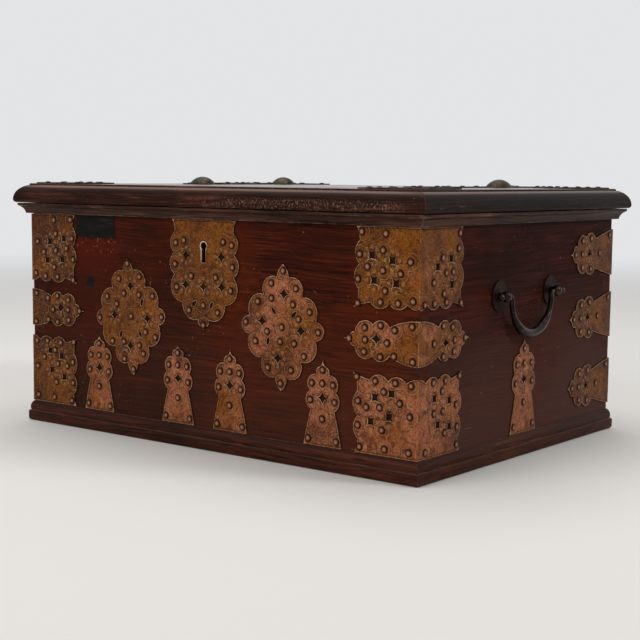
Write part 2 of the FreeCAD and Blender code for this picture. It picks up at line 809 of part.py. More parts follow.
def star(x, y, turn=0):
    reach, waist = value("star_reach"), value("star_waist")
    steps = [(reach, 0), (waist, waist, 0, reach), (-waist, waist, -reach, 0)]
    steps += [(-waist, -waist, 0, -reach), (waist, -waist, reach, 0)]
    outline = wire(steps)
    outline.rotate(Vector(0, 0, 0), Vector(0, 0, 1), turn)
    outline.translate(Vector(x, y, 0))
    return outline


def slit(x, y, lean):
    reach, waist = value("slit_length") / 2, value("slit_width") / 2
    lens = wire([(0, -reach), (waist, 0, 0, reach), (-waist, 0, 0, -reach)])
    lens.rotate(Vector(0, 0, 0), Vector(0, 0, 1), lean)
    lens.translate(Vector(x, y, 0))
    return lens


def round_hole(x, y, radius):
    return Part.Wire(Part.makeCircle(radius, Vector(x, y, 0)))


def keyhole_outline(y):
    names = ("keyhole_radius", "keyhole_slot_width / 2", "keyhole_slot_drop")
    radius, half, drop = (value(name) for name in names)
    neck = math.sqrt(radius**2 - half**2)
    steps = [(half, -drop), (half, -neck), (0, radius, -half, -neck), (-half, -drop)]
    return wire(moved(steps, 0, y))


def pierced(outline, holes, thickness):
    rise = Vector(0, 0, value(thickness))
    return Part.Face(wire(outline)).extrude(rise).cut([Part.Face(hole).extrude(rise) for hole in holes])


# A mount is its outline, the places of its stars (all turned alike), its slits (with their lean) and its nails
def mount(outline, stars, slits, spots, extra=(), turn=0):
    nail_hole = value("nail_shank_radius + nail_clearance")
    holes = [star(*spot, turn) for spot in stars] + [slit(*spot) for spot in slits]
    holes += [round_hole(*spot, nail_hole) for spot in spots]
    return pierced(outline, [*holes, *extra], "plate_thickness")


def pairs(spots):
    return [(sign * x, y) for x, y in spots for sign in ((1,) if x == 0 else (1, -1))]


def drive(side, position, spots):
    nails[side] += [position * Placement(Vector(x, y, value("plate_thickness")), flat) for x, y in spots]


def fitted(name, side, position, shape, spots):
    drive(side, position, spots)
    return shaped(name, shape, position)


def front_at(x, z):
    return Placement(point(x, f"-{half_depth}", z), facing("front"))


# The two medallions are pierced and nailed each in its own way
medallion_places = {
    "left": {
        "stars": [(2.5, 29), (-21, 2), (22.5, -2), (-2, -27.5)],
        "slits": [(-14, -16.5, -15), (12, -16.5, 30), (16.5, 13.5, -20)],
        "nails": [
            *[(0.5, 50.5), (-12, 36.5), (15.5, 37.5), (-29.5, 20), (-6.5, 22.5), (13.5, 20.5), (31.5, 19)],
            *[(-17, 12.5), (-41.5, -0.5), (1.5, 0.5), (41.5, -0.5), (19.5, -14.5), (32, -19.5), (-25.5, -23)],
            *[(-10, -23.5), (10.5, -27), (-10.5, -40), (15, -35), (0.5, -50)],
        ],
    },
    "right": {
        "stars": [(1.5, 29.5), (-22.5, 4), (21, -1), (-4, -27)],
        "slits": [(-9.5, 14, 40), (13, 12.5, -50), (-15.5, -13, -12)],
        "nails": [
            *[(0.5, 49.5), (-12.5, 38), (15, 35), (-12, 25), (-27.5, 21), (12, 21), (30.5, 16), (18.5, 9)],
            *[(-41, 2), (0, 0.5), (-16.5, -4.5), (40, -0.5), (-1.5, -12), (-29.5, -14), (14, -12.5)],
            *[(25, -22.5), (-15, -36), (11, -36), (-0.5, -48.5)],
        ],
    },
}


def medallion(side, sign):
    outline = mirrored(mirrored(medallion_quarter, 1), 0)
    wide, high = ratios(outline, "medallion_width", "medallion_height")
    places = medallion_places[side]
    stars, spots = (stretch(places[kind], wide, high) for kind in ("stars", "nails"))
    slits = [(x * wide, y * high, lean) for x, y, lean in places["slits"]]
    shape = mount(stretch(outline, wide, high), stars, slits, spots)
    across = f"{sign} * {side}_medallion_share * carcass_width"
    spot = front_at(across, f"{mount_middle} + {side}_medallion_rise")
    tilt = Placement(Vector(0, 0, 0), Rotation(Vector(0, 0, 1), value(f"{side}_medallion_tilt")))
    piece(fitted(f"medallion_{side}", "front", spot * tilt, shape, spots))


for side, sign in hinge_sides.items():
    medallion(side, sign)


def lock_plate():
    outline = mirrored(lock_plate_half, 0)
    wide, high = ratios(outline, "lock_plate_width", "lock_plate_height")
    stars = stretch(pairs([(21.5, -32.5), (0, -60), (22, -59.5)]), wide, high)
    slits = [(9.5 * wide, -76.5 * high, -30), (-11.5 * wide, -76 * high, -45)]
    nail_places = [(24, -19), (34, -21.5), (35, -41), (15, -51), (33, -62), (17.5, -82.5), (0, -77), (0, -95)]
    spots = stretch(pairs(nail_places), wide, high)
    opening = keyhole_outline(value(f"{keyhole_level} - {mount_top}"))
    shape = mount(stretch(outline, wide, high), stars, slits, spots, [opening])
    piece(fitted("lock_plate", "front", front_at("0", mount_top), shape, spots))


lock_plate()


# A strap is drawn standing on its base; its nails and star keep to the lobes
def strap(width, length):
    outline = mirrored(strap_half, 0)
    wide, high = ratios(outline, width, length)
    spots = [(15, 5.5), (0, 23.5), (13, 39), (11.3, 53.5), (0, 54), (0, 65.5)]
    spots = stretch(pairs(spots), wide, high)
    stars = stretch([(0, 41.5)], wide, high)
    return stretch(outline, wide, high), stars, spots


def foot_straps():
    outline, stars, spots = strap("foot_strap_width", "foot_strap_height")
    offsets = (f"({half_width} - outer_foot_inset)", "(inner_foot_share * carcass_width)")
    places = [f"{sign} * {offset}" for offset in offsets for sign in (-1, 1)]
    standing = []
    for number, x in enumerate(places, start=1):
        position = front_at(x, mount_bottom)
        shape = mount(outline, stars, [], spots)
        standing.append(fitted(f"front_foot_strap_{number}", "front", position, shape, spots))
    group("foot_straps_front", standing)
    outline, stars, spots = strap("side_strap_width", "side_strap_length")
    for side, sign in hinge_sides.items():
        position = Placement(point(f"{sign} * {half_width}", "0", mount_bottom), facing(side))
        piece(fitted(f"foot_strap_{side}", side, position, mount(outline, stars, [], spots), spots))


foot_straps()

# Folded mounts: two leaves that meet round a corner of the carcass. Each leaf is drawn away from the corner.
corner_faces = {
    ("front", "right"): (("front", -1), ("right", 1), 1, -1),
    ("front", "left"): (("front", 1), ("left", -1), -1, -1),
    ("back", "right"): (("right", -1), ("back", 1), 1, 1),
    ("back", "left"): (("left", 1), ("back", -1), -1, 1),
}


# Each leaf has its own stars and nails.
def folded(name, corner, level, outline, leaf_places, turn=0):
    *faces, x_sign, y_sign = corner_faces[corner]
    spot = point(f"{x_sign} * {half_width}", f"{y_sign} * {half_depth}", level)
    sheet = value("plate_thickness")
    leaves = []
    for (side, sign), (stars, spots) in zip(faces, leaf_places):
        leaf = mount(stretch(outline, sign, 1), stretch(stars, sign, 1), [], stretch(spots, sign, 1), (), turn)
        leaf.Placement = Placement(Vector(0, 0, 0), facing(side))
        leaves.append(leaf)
        drive(side, Placement(spot, facing(side)), stretch(spots, sign, 1))
    ends = sorted((outline[0][-1], outline[-1][-1]))
    fold = Part.makeBox(sheet, sheet, ends[1] - ends[0])
    fold.translate(Vector(min(0, x_sign) * sheet, min(0, y_sign) * sheet, ends[0]))
    shape = leaves[0].multiFuse([leaves[1], fold]).removeSplitter()
    return shaped(name, shape, Placement(spot, flat))


# Stars and nails of the leaf on the front and of the leaf on the side, from the fold and the scalloped edge
corner_places = {
    "top": [
        (
            [(46.5, 43.5), (26, 40), (44, 23), (22, 21.5)],
            [
                *[(56.5, 62.5), (32.5, 61.5), (35, 48), (58.5, 44), (8, 39.5), (50.5, 34), (35, 31.5)],
                *[(17.5, 29.5), (60, 23.5), (32.5, 15), (5, 8), (60, 3.4), (37, 5.5), (19.5, 5.5)],
            ],
        ),
        (
            [(24.5, 35), (44.5, 41), (46, 19.5)],
            [
                *[(31.5, 42), (37, 29.5), (47.5, 30), (18.5, 22.5), (34, 12.5), (20, 5.2), (38, 5.4)],
                *[(6, 5), (60, 3.4), (57, 61.5), (55.5, 49)],
            ],
        ),
    ],
    "middle": [
        (
            [(41, 1.5)],
            [
                *[(68.5, 0), (52.5, 10), (52, 0), (36.5, 13), (53, -10), (22.5, 10), (30, -1)],
                *[(36.5, -13), (23, -11.5), (5.5, 14), (4.5, -14.5)],
            ],
        ),
        (
            [(38.5, -2)],
            [(68, 0), (34, 12.5), (48, 10.5), (52, -0.5), (20.5, -1), (51, -10), (34.5, -13)],
        ),
    ],
    "bottom": [
        (
            [(41.5, 19), (25, 14.5), (27, 34), (45.5, 39.5)],
            [
                *[(60, 3.4), (41, 5.4), (21, 5.2), (32.5, 13.5), (5.5, 6), (58.5, 23.5), (50, 28), (36.5, 27)],
                *[(16.5, 21.5), (6.5, 31.5), (58.5, 44), (34, 45.5), (31, 61), (7, 61), (56.5, 62)],
            ],
        ),
        (
            [(23, 18.5), (45.5, 22.5), (28.5, 41), (46, 44.5)],
            [
                *[(20.5, 5.2), (38.5, 5.4), (60, 3.4), (34, 13.5), (56, 27.5), (35.5, 30.5), (22, 31)],
                *[(57.5, 46.5), (38.5, 49), (57, 61.5), (10, 61.5)],
            ],
        ),
    ],
}


def corner_plates():
    wide, high = ratios(corner_leaf, "corner_plate_reach", "corner_plate_height")
    outline = stretch(corner_leaf, wide, high)
    height = value("corner_plate_height")
    star_turn = 45
    middle_leaf = mirrored(middle_leaf_half, 1)
    middle_wide, middle_high = ratios(middle_leaf, "middle_plate_reach", "middle_plate_height")
    middle_outline = stretch(middle_leaf, middle_wide, middle_high)
    growth = {"top": (wide, high), "middle": (middle_wide, middle_high), "bottom": (wide, high)}
    leaves = {}
    for kind, places in corner_places.items():
        leaves[kind] = [[stretch(spots, *growth[kind]) for spots in leaf] for leaf in places]

    def upturned(steps):
        return moved(stretch(steps, 1, -1), 0, height)

    turned_leaves = [[upturned(spots) for spots in leaf] for leaf in leaves["bottom"]]
    for side in hinge_sides:
        corner = ("front", side)
        name = f"corner_plate_{side}"
        top_level = f"({mount_top} - corner_plate_height)"
        piece(folded(f"{name}_top", corner, top_level, outline, leaves["top"], star_turn))
        piece(folded(f"{name}_middle", corner, middle_plate_level, middle_outline, leaves["middle"]))
        piece(folded(f"{name}_bottom", corner, mount_bottom, upturned(outline), turned_leaves, star_turn))


corner_plates()


def back_straps():
    outline, stars, spots = (swap(steps) for steps in strap("side_strap_width", "side_strap_length"))
    spots = [(x, y) for x, y in spots if x > value("wall_thickness") or y > 0]
    levels = {
        "top": f"({mount_top} - upper_strap_drop)",
        "middle": middle_plate_level,
        "bottom": f"({mount_bottom} + lower_strap_rise)",
    }
    for side in hinge_sides:
        corner = ("back", side)
        wrapped = []
        for place_name, level in levels.items():
            name = f"back_strap_{side}_{place_name}"
            wrapped.append(folded(name, corner, level, outline, [(stars, spots)] * 2))
        group(f"back_straps_{side}", wrapped)


back_straps()


def lid_at(x, y, turn):
    return Placement(point(x, y, lid_top), Rotation(Vector(0, 0, 1), turn))


def lid_mounts():
    outline = lid_plate_half + reverse(swap(lid_plate_half))[1:-1]
    scale, _ = ratios(outline, "lid_plate_size", "lid_plate_size")
    outline = stretch(outline, scale, scale)
    stars = stretch([(21, 21), (41, 21), (21, 41)], scale, scale)
    row = [(8, 8), (30, 8), (54, 5.5), (54, 20), (53, 36), (31, 31), (43, 43)]
    spots = stretch(row + [(y, x) for x, y in row if x != y], scale, scale)
    edge = "(lid_step_reach - lid_plate_inset)"
    corners = []
    for number, (x_sign, y_sign) in enumerate(((-1, -1), (1, -1), (1, 1), (-1, 1))):
        x, y = f"{x_sign} * ({half_width} + {edge})", f"{y_sign} * ({half_depth} + {edge})"
        position = lid_at(x, y, 90 * number)
        shape = mount(outline, stars, [], spots)
        corners.append(fitted(f"lid_corner_{number}", "lid", position, shape, spots))
    group("lid_corner_plates", corners)

    long_outline = mirrored(lid_strap_half, 0)
    wide, high = ratios(long_outline, "lid_strap_width", "lid_strap_length")
    long_outline = stretch(long_outline, wide, high)
    spine = [(0, y) for y in (22, 38, 77, 100, 125, 150, 169, 208)]
    long_spots = stretch(pairs([(15, 6), (13, 178), *spine]), wide, high)
    seats = [value("rear_dome_seat"), value("front_dome_seat")]
    seat_holes = [round_hole(0, seat, value("dome_shank_radius + nail_clearance")) for seat in seats]
    names = ("dome_radius", "dome_height", "dome_shank_radius", "dome_shank_length")
    boss = domed(*(value(name) for name in names))
    straps, domes = [], []
    for side, sign in hinge_sides.items():
        position = lid_at(f"{sign} * {strap_line}", f"{half_depth} + {edge}", 180)
        shape = mount(long_outline, [], [], long_spots, seat_holes)
        straps.append(fitted(f"lid_strap_{side}", "lid", position, shape, long_spots))
        # the front dome of the right strap is lost, so its seat stays empty
        kept = seats if side == "left" else seats[:1]
        domes += [position * Placement(Vector(0, seat, value("plate_thickness")), flat) for seat in kept]
    group("lid_straps", straps)
    piece(shaped("lid_domes", copies(boss, domes)))


lid_mounts()


def drive_nails():
    names = ("nail_head_radius", "nail_head_height", "nail_shank_radius", "nail_length")
    nail = domed(*(value(name) for name in names))
    for side, spots in nails.items():
        piece(shaped(f"{side}_nails", copies(nail, spots)))


drive_nails()


# Handles: posts peened over washers inside, roses outside, and a bail that hangs in the posts' eyes
def handle_fittings():
    posts, roses, washers = [], [], []
    reach = value("rose_height / 2")
    bulge = value("rose_width / 2")
    lens = [(0, -reach), (bulge, 0, 0, reach), (-bulge, 0, 0, -reach)]
    rose = pierced(lens, [round_hole(0, 0, value("post_shank_radius + post_clearance"))], "rose_thickness")
    inside = f"({half_width} - wall_thickness)"
    for side, sign in hinge_sides.items():
        outward = along_x if sign > 0 else against_x
        for end in (-1, 1):
            name = f"{side}_{'front' if end < 0 else 'rear'}"
            y = f"{end} * handle_spacing / 2"

            def bar(part, radius, start, length):
                begin = (f"{sign} * ({start})", y, handle_level)
                return cylinder(f"{name}_{part}", radius, length, begin, outward)

            peen_start = f"{inside} - washer_thickness - peen_height"
            shank_length = "peen_height + washer_thickness + wall_thickness + handle_offset"
            shank = bar("shank", "post_shank_radius", peen_start, shank_length)
            peen = bar("peen", "peen_radius", peen_start, "peen_height")
            neck_start = f"{half_width} + rose_thickness"
            neck = bar("neck", "post_neck_radius", neck_start, "handle_offset - rose_thickness")
            head = ball(f"{name}_ball", "post_ball_radius", (f"{sign} * {bail_line}", y, handle_level))
            eye_start = (f"{sign} * {bail_line}", f"{y} - post_ball_radius", handle_level)
            eye_radius = "bail_end_radius + bail_clearance"
            eye = cylinder(f"{name}_eye", eye_radius, "2 * post_ball_radius", eye_start, along_y)
            posts.append(cut(f"{name}_post", fuse(f"{name}_post_blank", [shank, peen, neck, head]), [eye]))
            disc = bar("disc", "washer_radius", f"{inside} - washer_thickness", "washer_thickness")
            hole_radius = "post_shank_radius + post_clearance"
            hole = bar("washer_hole", hole_radius, f"{inside} - washer_thickness", "washer_thickness")
            washers.append(cut(f"{name}_washer", disc, [hole]))
            spot = point(f"{sign} * {half_width}", y, handle_level)
            roses.append(shaped(f"{name}_rose", rose, Placement(spot, facing(side))))
    group("handle_posts", posts)
    group("handle_washers", washers)
    group("handle_roses", roses)


handle_fittings()


# The bail's centre line, in the plane of the handle: straight through the eye, an elbow, half of an ellipse
def bail_sections():
    half, drop, elbow = value("bail_half_width"), value("bail_drop"), value("bail_elbow")
    end, limb, grip = value("bail_end_radius"), value("bail_limb_radius"), value("bail_grip_radius")
    outer = value("handle_spacing / 2 + post_ball_radius + bail_clearance + bail_knob_radius")
    thin, full = value("bail_thin_share"), value("bail_full_share")
    elbow_steps, bow_steps = 4, 36
    stations = [((-outer, 0), (1, 0), end)]
    for step in range(elbow_steps):
        angle = math.pi / 2 * step / elbow_steps
        spot = (-half - elbow + elbow * math.sin(angle), elbow * (math.cos(angle) - 1))
        stations.append((spot, (math.cos(angle), -math.sin(angle)), end + (limb - end) * step / elbow_steps))
    for step in range(bow_steps + 1):
        angle = math.pi * step / bow_steps
        spot = (-half * math.cos(angle), -elbow - (drop - elbow) * math.sin(angle))
        direction = (half * math.sin(angle), -(drop - elbow) * math.cos(angle))
        rise = min(max((math.sin(angle) - thin) / (full - thin), 0), 1)
        swell = rise * rise * (3 - 2 * rise)
        stations.append((spot, direction, limb + (grip - limb) * swell))
    near = stations[elbow_steps::-1]
    far = [((-y, z), (run, -rise), radius) for (y, z), (run, rise), radius in near]
    return stations + far


def bail(side, sign):
    rings = []
    for (y, z), (run, rise), radius in bail_sections():
        ring = Part.Wire(Part.makeCircle(radius))
        lean = math.degrees(math.atan2(-run, rise))
        ring.Placement = Placement(Vector(0, y, z), Rotation(Vector(1, 0, 0), lean))
        rings.append(ring)
    bow = Part.makeLoft(rings, True, True)
    knob = value("bail_knob_radius")
    centre = value("handle_spacing / 2 + post_ball_radius + bail_clearance + bail_knob_radius")
    knobs = [Part.makeSphere(knob, Vector(0, end * centre, 0)) for end in (-1, 1)]
    position = Placement(point(f"{sign} * {bail_line}", "0", handle_level), flat)
    piece(shaped(f"bail_{side}", bow.multiFuse(knobs), position))


for side, sign in hinge_sides.items():
    bail(side, sign)

doc.recompute()
for item in doc.Objects:
    if "Invalid" in item.State or "Error" in item.State:
        raise RuntimeError(f"{item.Label} failed: {item.State}")
for item in pieces:
    if item.Shape.isNull() or not item.Shape.isValid():
        raise RuntimeError(f"{item.Label} has no valid shape")

os.makedirs("parts", exist_ok=True)
for item in pieces:
    item.Shape.exportStep(f"parts/{item.Label}.step")
    print(f"{item.Label}: {len(item.Shape.Solids)} solids, {item.Shape.Volume:.1f} mm3")
print(f"{len(pieces)} pieces")
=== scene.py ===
import math
import random
from functools import cached_property

import bmesh
import bpy
import numpy
from mathutils import Matrix, Vector, kdtree, noise


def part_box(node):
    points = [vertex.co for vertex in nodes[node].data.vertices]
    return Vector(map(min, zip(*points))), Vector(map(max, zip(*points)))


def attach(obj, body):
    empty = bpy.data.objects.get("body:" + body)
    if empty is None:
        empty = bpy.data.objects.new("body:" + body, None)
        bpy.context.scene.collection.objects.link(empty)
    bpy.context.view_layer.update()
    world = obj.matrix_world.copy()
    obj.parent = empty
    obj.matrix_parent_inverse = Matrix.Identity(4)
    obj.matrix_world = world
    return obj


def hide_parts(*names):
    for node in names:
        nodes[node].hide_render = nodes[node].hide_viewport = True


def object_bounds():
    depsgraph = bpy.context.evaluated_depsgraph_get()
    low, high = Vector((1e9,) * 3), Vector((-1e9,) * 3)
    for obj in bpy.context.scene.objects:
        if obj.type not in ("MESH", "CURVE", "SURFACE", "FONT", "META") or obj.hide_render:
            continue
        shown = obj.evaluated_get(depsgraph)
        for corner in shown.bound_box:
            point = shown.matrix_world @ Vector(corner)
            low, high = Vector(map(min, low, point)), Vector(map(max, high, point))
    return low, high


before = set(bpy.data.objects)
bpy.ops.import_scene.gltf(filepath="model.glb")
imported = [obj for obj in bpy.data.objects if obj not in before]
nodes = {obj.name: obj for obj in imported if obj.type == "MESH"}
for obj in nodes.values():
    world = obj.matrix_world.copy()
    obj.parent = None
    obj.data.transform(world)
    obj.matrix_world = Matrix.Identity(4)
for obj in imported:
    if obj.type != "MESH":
        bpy.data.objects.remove(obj)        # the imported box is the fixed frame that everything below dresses
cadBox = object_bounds()
mm = 0.001
random.seed(11)
print("frame loaded with", len(nodes), "nodes")

top = Vector((0, 0, 1))
back = Vector((0, 1, 0))
outwardOf = {"front": Vector((0, -1, 0)), "back": back, "left": Vector((-1, 0, 0)),
             "right": Vector((1, 0, 0)), "lid": top}        # the way that each mounted side looks


# selecting and shaping

meshCare = {"weld": 0.002, "flatAngle": 0.3, "bevelSteps": 2,
            "faceDepth": 0.05, "faceSquare": 0.9}        # how deep and how askew a shown face may lie


def pickOnly(*pieces):
    bpy.ops.object.select_all(action="DESELECT")
    for piece in pieces:
        piece.select_set(True)
    bpy.context.view_layer.objects.active = pieces[0]


def startEdit(piece):
    pickOnly(piece)
    bpy.ops.object.mode_set(mode="EDIT")
    bpy.ops.mesh.select_all(action="SELECT")


def endEdit():
    bpy.ops.object.mode_set(mode="OBJECT")


def copyOfNode(node, name):
    piece = bpy.data.objects.new(name, nodes[node].data.copy())
    bpy.context.scene.collection.objects.link(piece)
    piece.data.materials.clear()
    pickOnly(piece)
    bpy.ops.mesh.customdata_custom_splitnormals_clear()
    startEdit(piece)
    bpy.ops.mesh.remove_doubles(threshold=meshCare["weld"] * mm)
    bpy.ops.mesh.dissolve_limited(angle_limit=math.radians(meshCare["flatAngle"]))
    endEdit()
    return piece


def cutAcross(piece, axis, spacing):
    # even cuts across one axis, so that the piece can bend and carry values
    places = [corner.co[axis] for corner in piece.data.vertices]
    low, high = min(places), max(places)
    count = int((high - low) / (spacing * mm))
    direction = Vector((0, 0, 0))
    direction[axis] = 1
    startEdit(piece)
    for index in range(1, count + 1):
        bpy.ops.mesh.select_all(action="SELECT")
        spot = direction * (low + (high - low) * index / (count + 1))
        bpy.ops.mesh.bisect(plane_co=spot, plane_no=direction, use_fill=False)
    endEdit()


def softenEdges(piece, width, angle):
    bevel = piece.modifiers.new("Bevel", "BEVEL")
    bevel.width = width * mm
    bevel.segments = meshCare["bevelSteps"]
    bevel.limit_method = "ANGLE"
    bevel.angle_limit = math.radians(angle)
    bevel.use_clamp_overlap = True
    pickOnly(piece)
    bpy.ops.object.modifier_apply(modifier=bevel.name)


def giveValues(piece, name, values):
    attribute = piece.data.attributes.new(name, "FLOAT", "POINT")
    attribute.data.foreach_set("value", values)


def nearest(points):
    tree = kdtree.KDTree(len(points))
    for index, point in enumerate(points):
        tree.insert(point, index)
    tree.balance()
    return tree


def distances(piece, points):
    tree = nearest(points)
    return [tree.find(corner.co)[2] / mm for corner in piece.data.vertices]


def outermost(piece, outward):
    return max(corner.co.dot(outward) for corner in piece.data.vertices)


def alongLine(start, end, spacing):
    steps = max(1, int((end - start).length / (spacing * mm)))
    return [start.lerp(end, index / steps) for index in range(steps)]


def finishPiece(piece, finish, body, node, smooth):
    pickOnly(piece)
    bpy.ops.object.shade_smooth_by_angle(angle=math.radians(smooth))
    piece.data.materials.clear()
    piece.data.materials.append(finish)
    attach(piece, body)
    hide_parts(node)


# shader writing

class Wire:
    def __init__(self, finish, socket):
        self.finish = finish
        self.socket = socket

    def maths(self, operation, *others):
        sockets = dict(enumerate((self,) + others))
        return self.finish.node("ShaderNodeMath", {"operation": operation}, sockets)

    def __add__(self, other):
        return self.maths("ADD", other)

    __radd__ = __add__

    def __sub__(self, other):
        return self.maths("SUBTRACT", other)

    def __rsub__(self, other):
        return self.finish.node("ShaderNodeMath", {"operation": "SUBTRACT"}, {0: other, 1: self})

    def __mul__(self, other):
        return self.maths("MULTIPLY", other)

    __rmul__ = __mul__

    def __truediv__(self, other):
        return self.maths("DIVIDE", other)

    def __rtruediv__(self, other):
        return self.finish.node("ShaderNodeMath", {"operation": "DIVIDE"}, {0: other, 1: self})


class Finish:
    lineCore = 0.3        # the share of a line's half width that is drawn in full

    def __init__(self, owner):        # a new material, or the world
        owner.use_nodes = True
        self.owner = owner
        self.tree = owner.node_tree
        self.tree.nodes.clear()

    @cached_property
    def place(self):
        return self.node("ShaderNodeTexCoord", out="Object")

    def node(self, kind, settings=None, sockets=None, out=0):
        made = self.tree.nodes.new(kind)
        for key, value in (settings or {}).items():
            if key == "stops":
                self.setStops(made.color_ramp.elements, value)
            else:
                setattr(made, key, value)
        for key, value in (sockets or {}).items():
            if isinstance(value, Wire):
                self.tree.links.new(value.socket, made.inputs[key])
            else:
                made.inputs[key].default_value = value
        return Wire(self, made.outputs[out]) if len(made.outputs) else None

    def setStops(self, elements, stops):
        while len(elements) < len(stops):
            elements.new(0.5)
        for element, (position, colour) in zip(elements, stops):
            element.position = position
            element.color = colour

    def spread(self, scale, vector, turn=(0, 0, 0)):
        return self.node("ShaderNodeMapping", None, {"Vector": vector, "Rotation": turn, "Scale": scale})

    def cloud(self, scale, detail, roughness, vector=None):
        sockets = {"Vector": vector or self.place, "Scale": scale, "Detail": detail, "Roughness": roughness}
        return self.node("ShaderNodeTexNoise", None, sockets)

    def ramp(self, value, positions, colours):
        stops = list(zip(positions, colours))
        return self.node("ShaderNodeValToRGB", {"stops": stops}, {0: value})

    def blend(self, share, first, second):
        return self.node("ShaderNodeMix", {"data_type": "RGBA"}, {0: share, 6: first, 7: second}, out=2)

    def band(self, value, low, high):
        sockets = {"Value": value, "From Min": low, "From Max": high}
        return self.node("ShaderNodeMapRange", {"interpolation_type": "SMOOTHSTEP"}, sockets)

    def fade(self, value, low, high):
        return 1 - self.band(value, low, high)

    def window(self, value, rise, fall):
        return self.band(value, *rise) * self.fade(value, *fall)

    def spots(self, scale, detail, roughness, low, high):
        return self.band(self.cloud(scale, detail, roughness), low, high)

    def line(self, value, centre, half):
        return self.fade((value - centre).maths("ABSOLUTE"), half * self.lineCore, half)

    def value(self, name):
        return self.node("ShaderNodeAttribute", {"attribute_name": name}, out="Fac")

    def axis(self, index):
        return self.node("ShaderNodeSeparateXYZ", None, {0: self.place}, out=index)

    def facing(self, direction):
        normal = self.node("ShaderNodeTexCoord", out="Normal")
        sockets = {0: normal, 1: direction}
        return self.node("ShaderNodeVectorMath", {"operation": "DOT_PRODUCT"}, sockets, out="Value")

    def bent(self, scale, reach):
        # the place pushed about a little, so that lines drawn with it wander
        push = self.node("ShaderNodeTexNoise", None, {"Vector": self.place, "Scale": scale}, out="Color")
        amount = (reach * mm,) * 3
        settings = {"operation": "MULTIPLY_ADD"}
        return self.node("ShaderNodeVectorMath", settings, {0: push, 1: amount, 2: self.place})

    def bump(self, height, strength, depth):
        sockets = {"Height": height, "Strength": strength, "Distance": depth * mm}
        return self.node("ShaderNodeBump", None, sockets)

    def output(self, shader, kind="ShaderNodeOutputMaterial"):
        self.node(kind, None, {"Surface": shader})
        return self.owner

    def surface(self, sockets):
        return self.output(self.node("ShaderNodeBsdfPrincipled", None, sockets))


def newFinish(name):
    return Finish(bpy.data.materials.new(name))


def sway(cloud, reach):
    # a noise as a swing to both sides of nought
    return (cloud - 0.5) * reach


def hypotenuse(across, upward):
    return (across * across + upward * upward).maths("SQRT")


def tone(red, green, blue):
    # a colour as it looks on the screen, in the numbers that shaders take
    def channel(value):
        value = value / 255
        return value / 12.92 if value <= 0.04045 else ((value + 0.055) / 1.055) ** 2.4
    return (channel(red), channel(green), channel(blue), 1)


# wood: a noise is its scale, detail and roughness, and spots add the values where they start and are full

grainWork = {"wander": (5, 26), "fibre": (1, 4, 0.66), "bands": (1, 3, 0.5), "bandStretch": 0.6,
             "hairs": (1.1, 2, 0.6), "patches": (7, 3, 0.55), "poreReach": (0.54, 0.66), "poreShare": 0.7,
             "fibreShare": 0.72, "bandShare": 0.2, "patchShare": 0.44, "darker": 0.18,
             "stops": (0.33, 0.51, 0.74)}
scratchWork = {"noise": (1, 1, 0.5), "thin": 0.04, "reach": (0.7, 0.74),
               "zones": (26, 2, 0.5), "zoneFade": 0.09}


def grain(finish, along, look):
    # fine fibres and broad bands, drawn out along one axis and wandering a little
    wander = finish.bent(*grainWork["wander"])
    fine = [look["across"]] * 3
    fine[along] = look["along"]
    broad = [look["broad"]] * 3
    broad[along] = look["along"] * grainWork["bandStretch"]
    fibre = finish.cloud(*grainWork["fibre"], finish.spread(fine, wander))
    bands = finish.cloud(*grainWork["bands"], finish.spread(broad, wander))
    hairs = finish.cloud(*grainWork["hairs"], finish.spread(fine, wander))
    patches = finish.cloud(*grainWork["patches"])
    pores = finish.band(hairs, *grainWork["poreReach"])
    shade = fibre * grainWork["fibreShare"] + bands * grainWork["bandShare"]
    shade = shade + patches * grainWork["patchShare"] - grainWork["darker"]
    colour = finish.ramp(shade, grainWork["stops"], (look["dark"], look["middle"], look["light"]))
    colour = finish.blend(pores * grainWork["poreShare"], colour, look["pore"])
    return colour, fibre, pores, patches


def scratches(finish, scale, turn, start):
    # sparse pale hairlines: a stretched noise where a second noise lets it through
    stretched = finish.spread((scale, scale * scratchWork["thin"], scale), finish.place, turn)
    lines = finish.cloud(*scratchWork["noise"], stretched)
    zones = finish.spots(*scratchWork["zones"], start, start + scratchWork["zoneFade"])
    return finish.band(lines, *scratchWork["reach"]) * zones


# boards

boardLook = {"dark": tone(30, 9, 4), "middle": tone(60, 20, 7), "light": tone(102, 40, 15),
             "pore": tone(19, 7, 4), "warm": tone(80, 27, 8), "bare": tone(150, 112, 88),
             "grimeAndShade": tone(25, 22, 18), "dusk": tone(66, 42, 31), "dull": 0.45, "along": 8, "across": 430,
             "broad": 46, "rough": 0.44, "gloss": 0.03}
frontLook = {**boardLook, "leftShade": 0.45, "ember": tone(96, 24, 8), "soot": tone(13, 10, 10)}
sideLook = {**boardLook, "dark": tone(23, 7, 5), "middle": tone(48, 17, 11), "light": tone(80, 32, 21),
            "warm": tone(60, 24, 15), "dusk": tone(84, 57, 50), "dull": 0.62, "gloss": 0.02}
lidLook = {**boardLook, "rough": 0.22, "gloss": 0.3}
repairLook = {"dark": tone(8, 6, 6), "middle": tone(18, 13, 12), "light": tone(44, 36, 34),
              "pore": tone(7, 6, 7), "bare": tone(66, 62, 62), "along": 40, "across": 300,
              "broad": 60, "rough": 0.45, "gloss": 0.05}
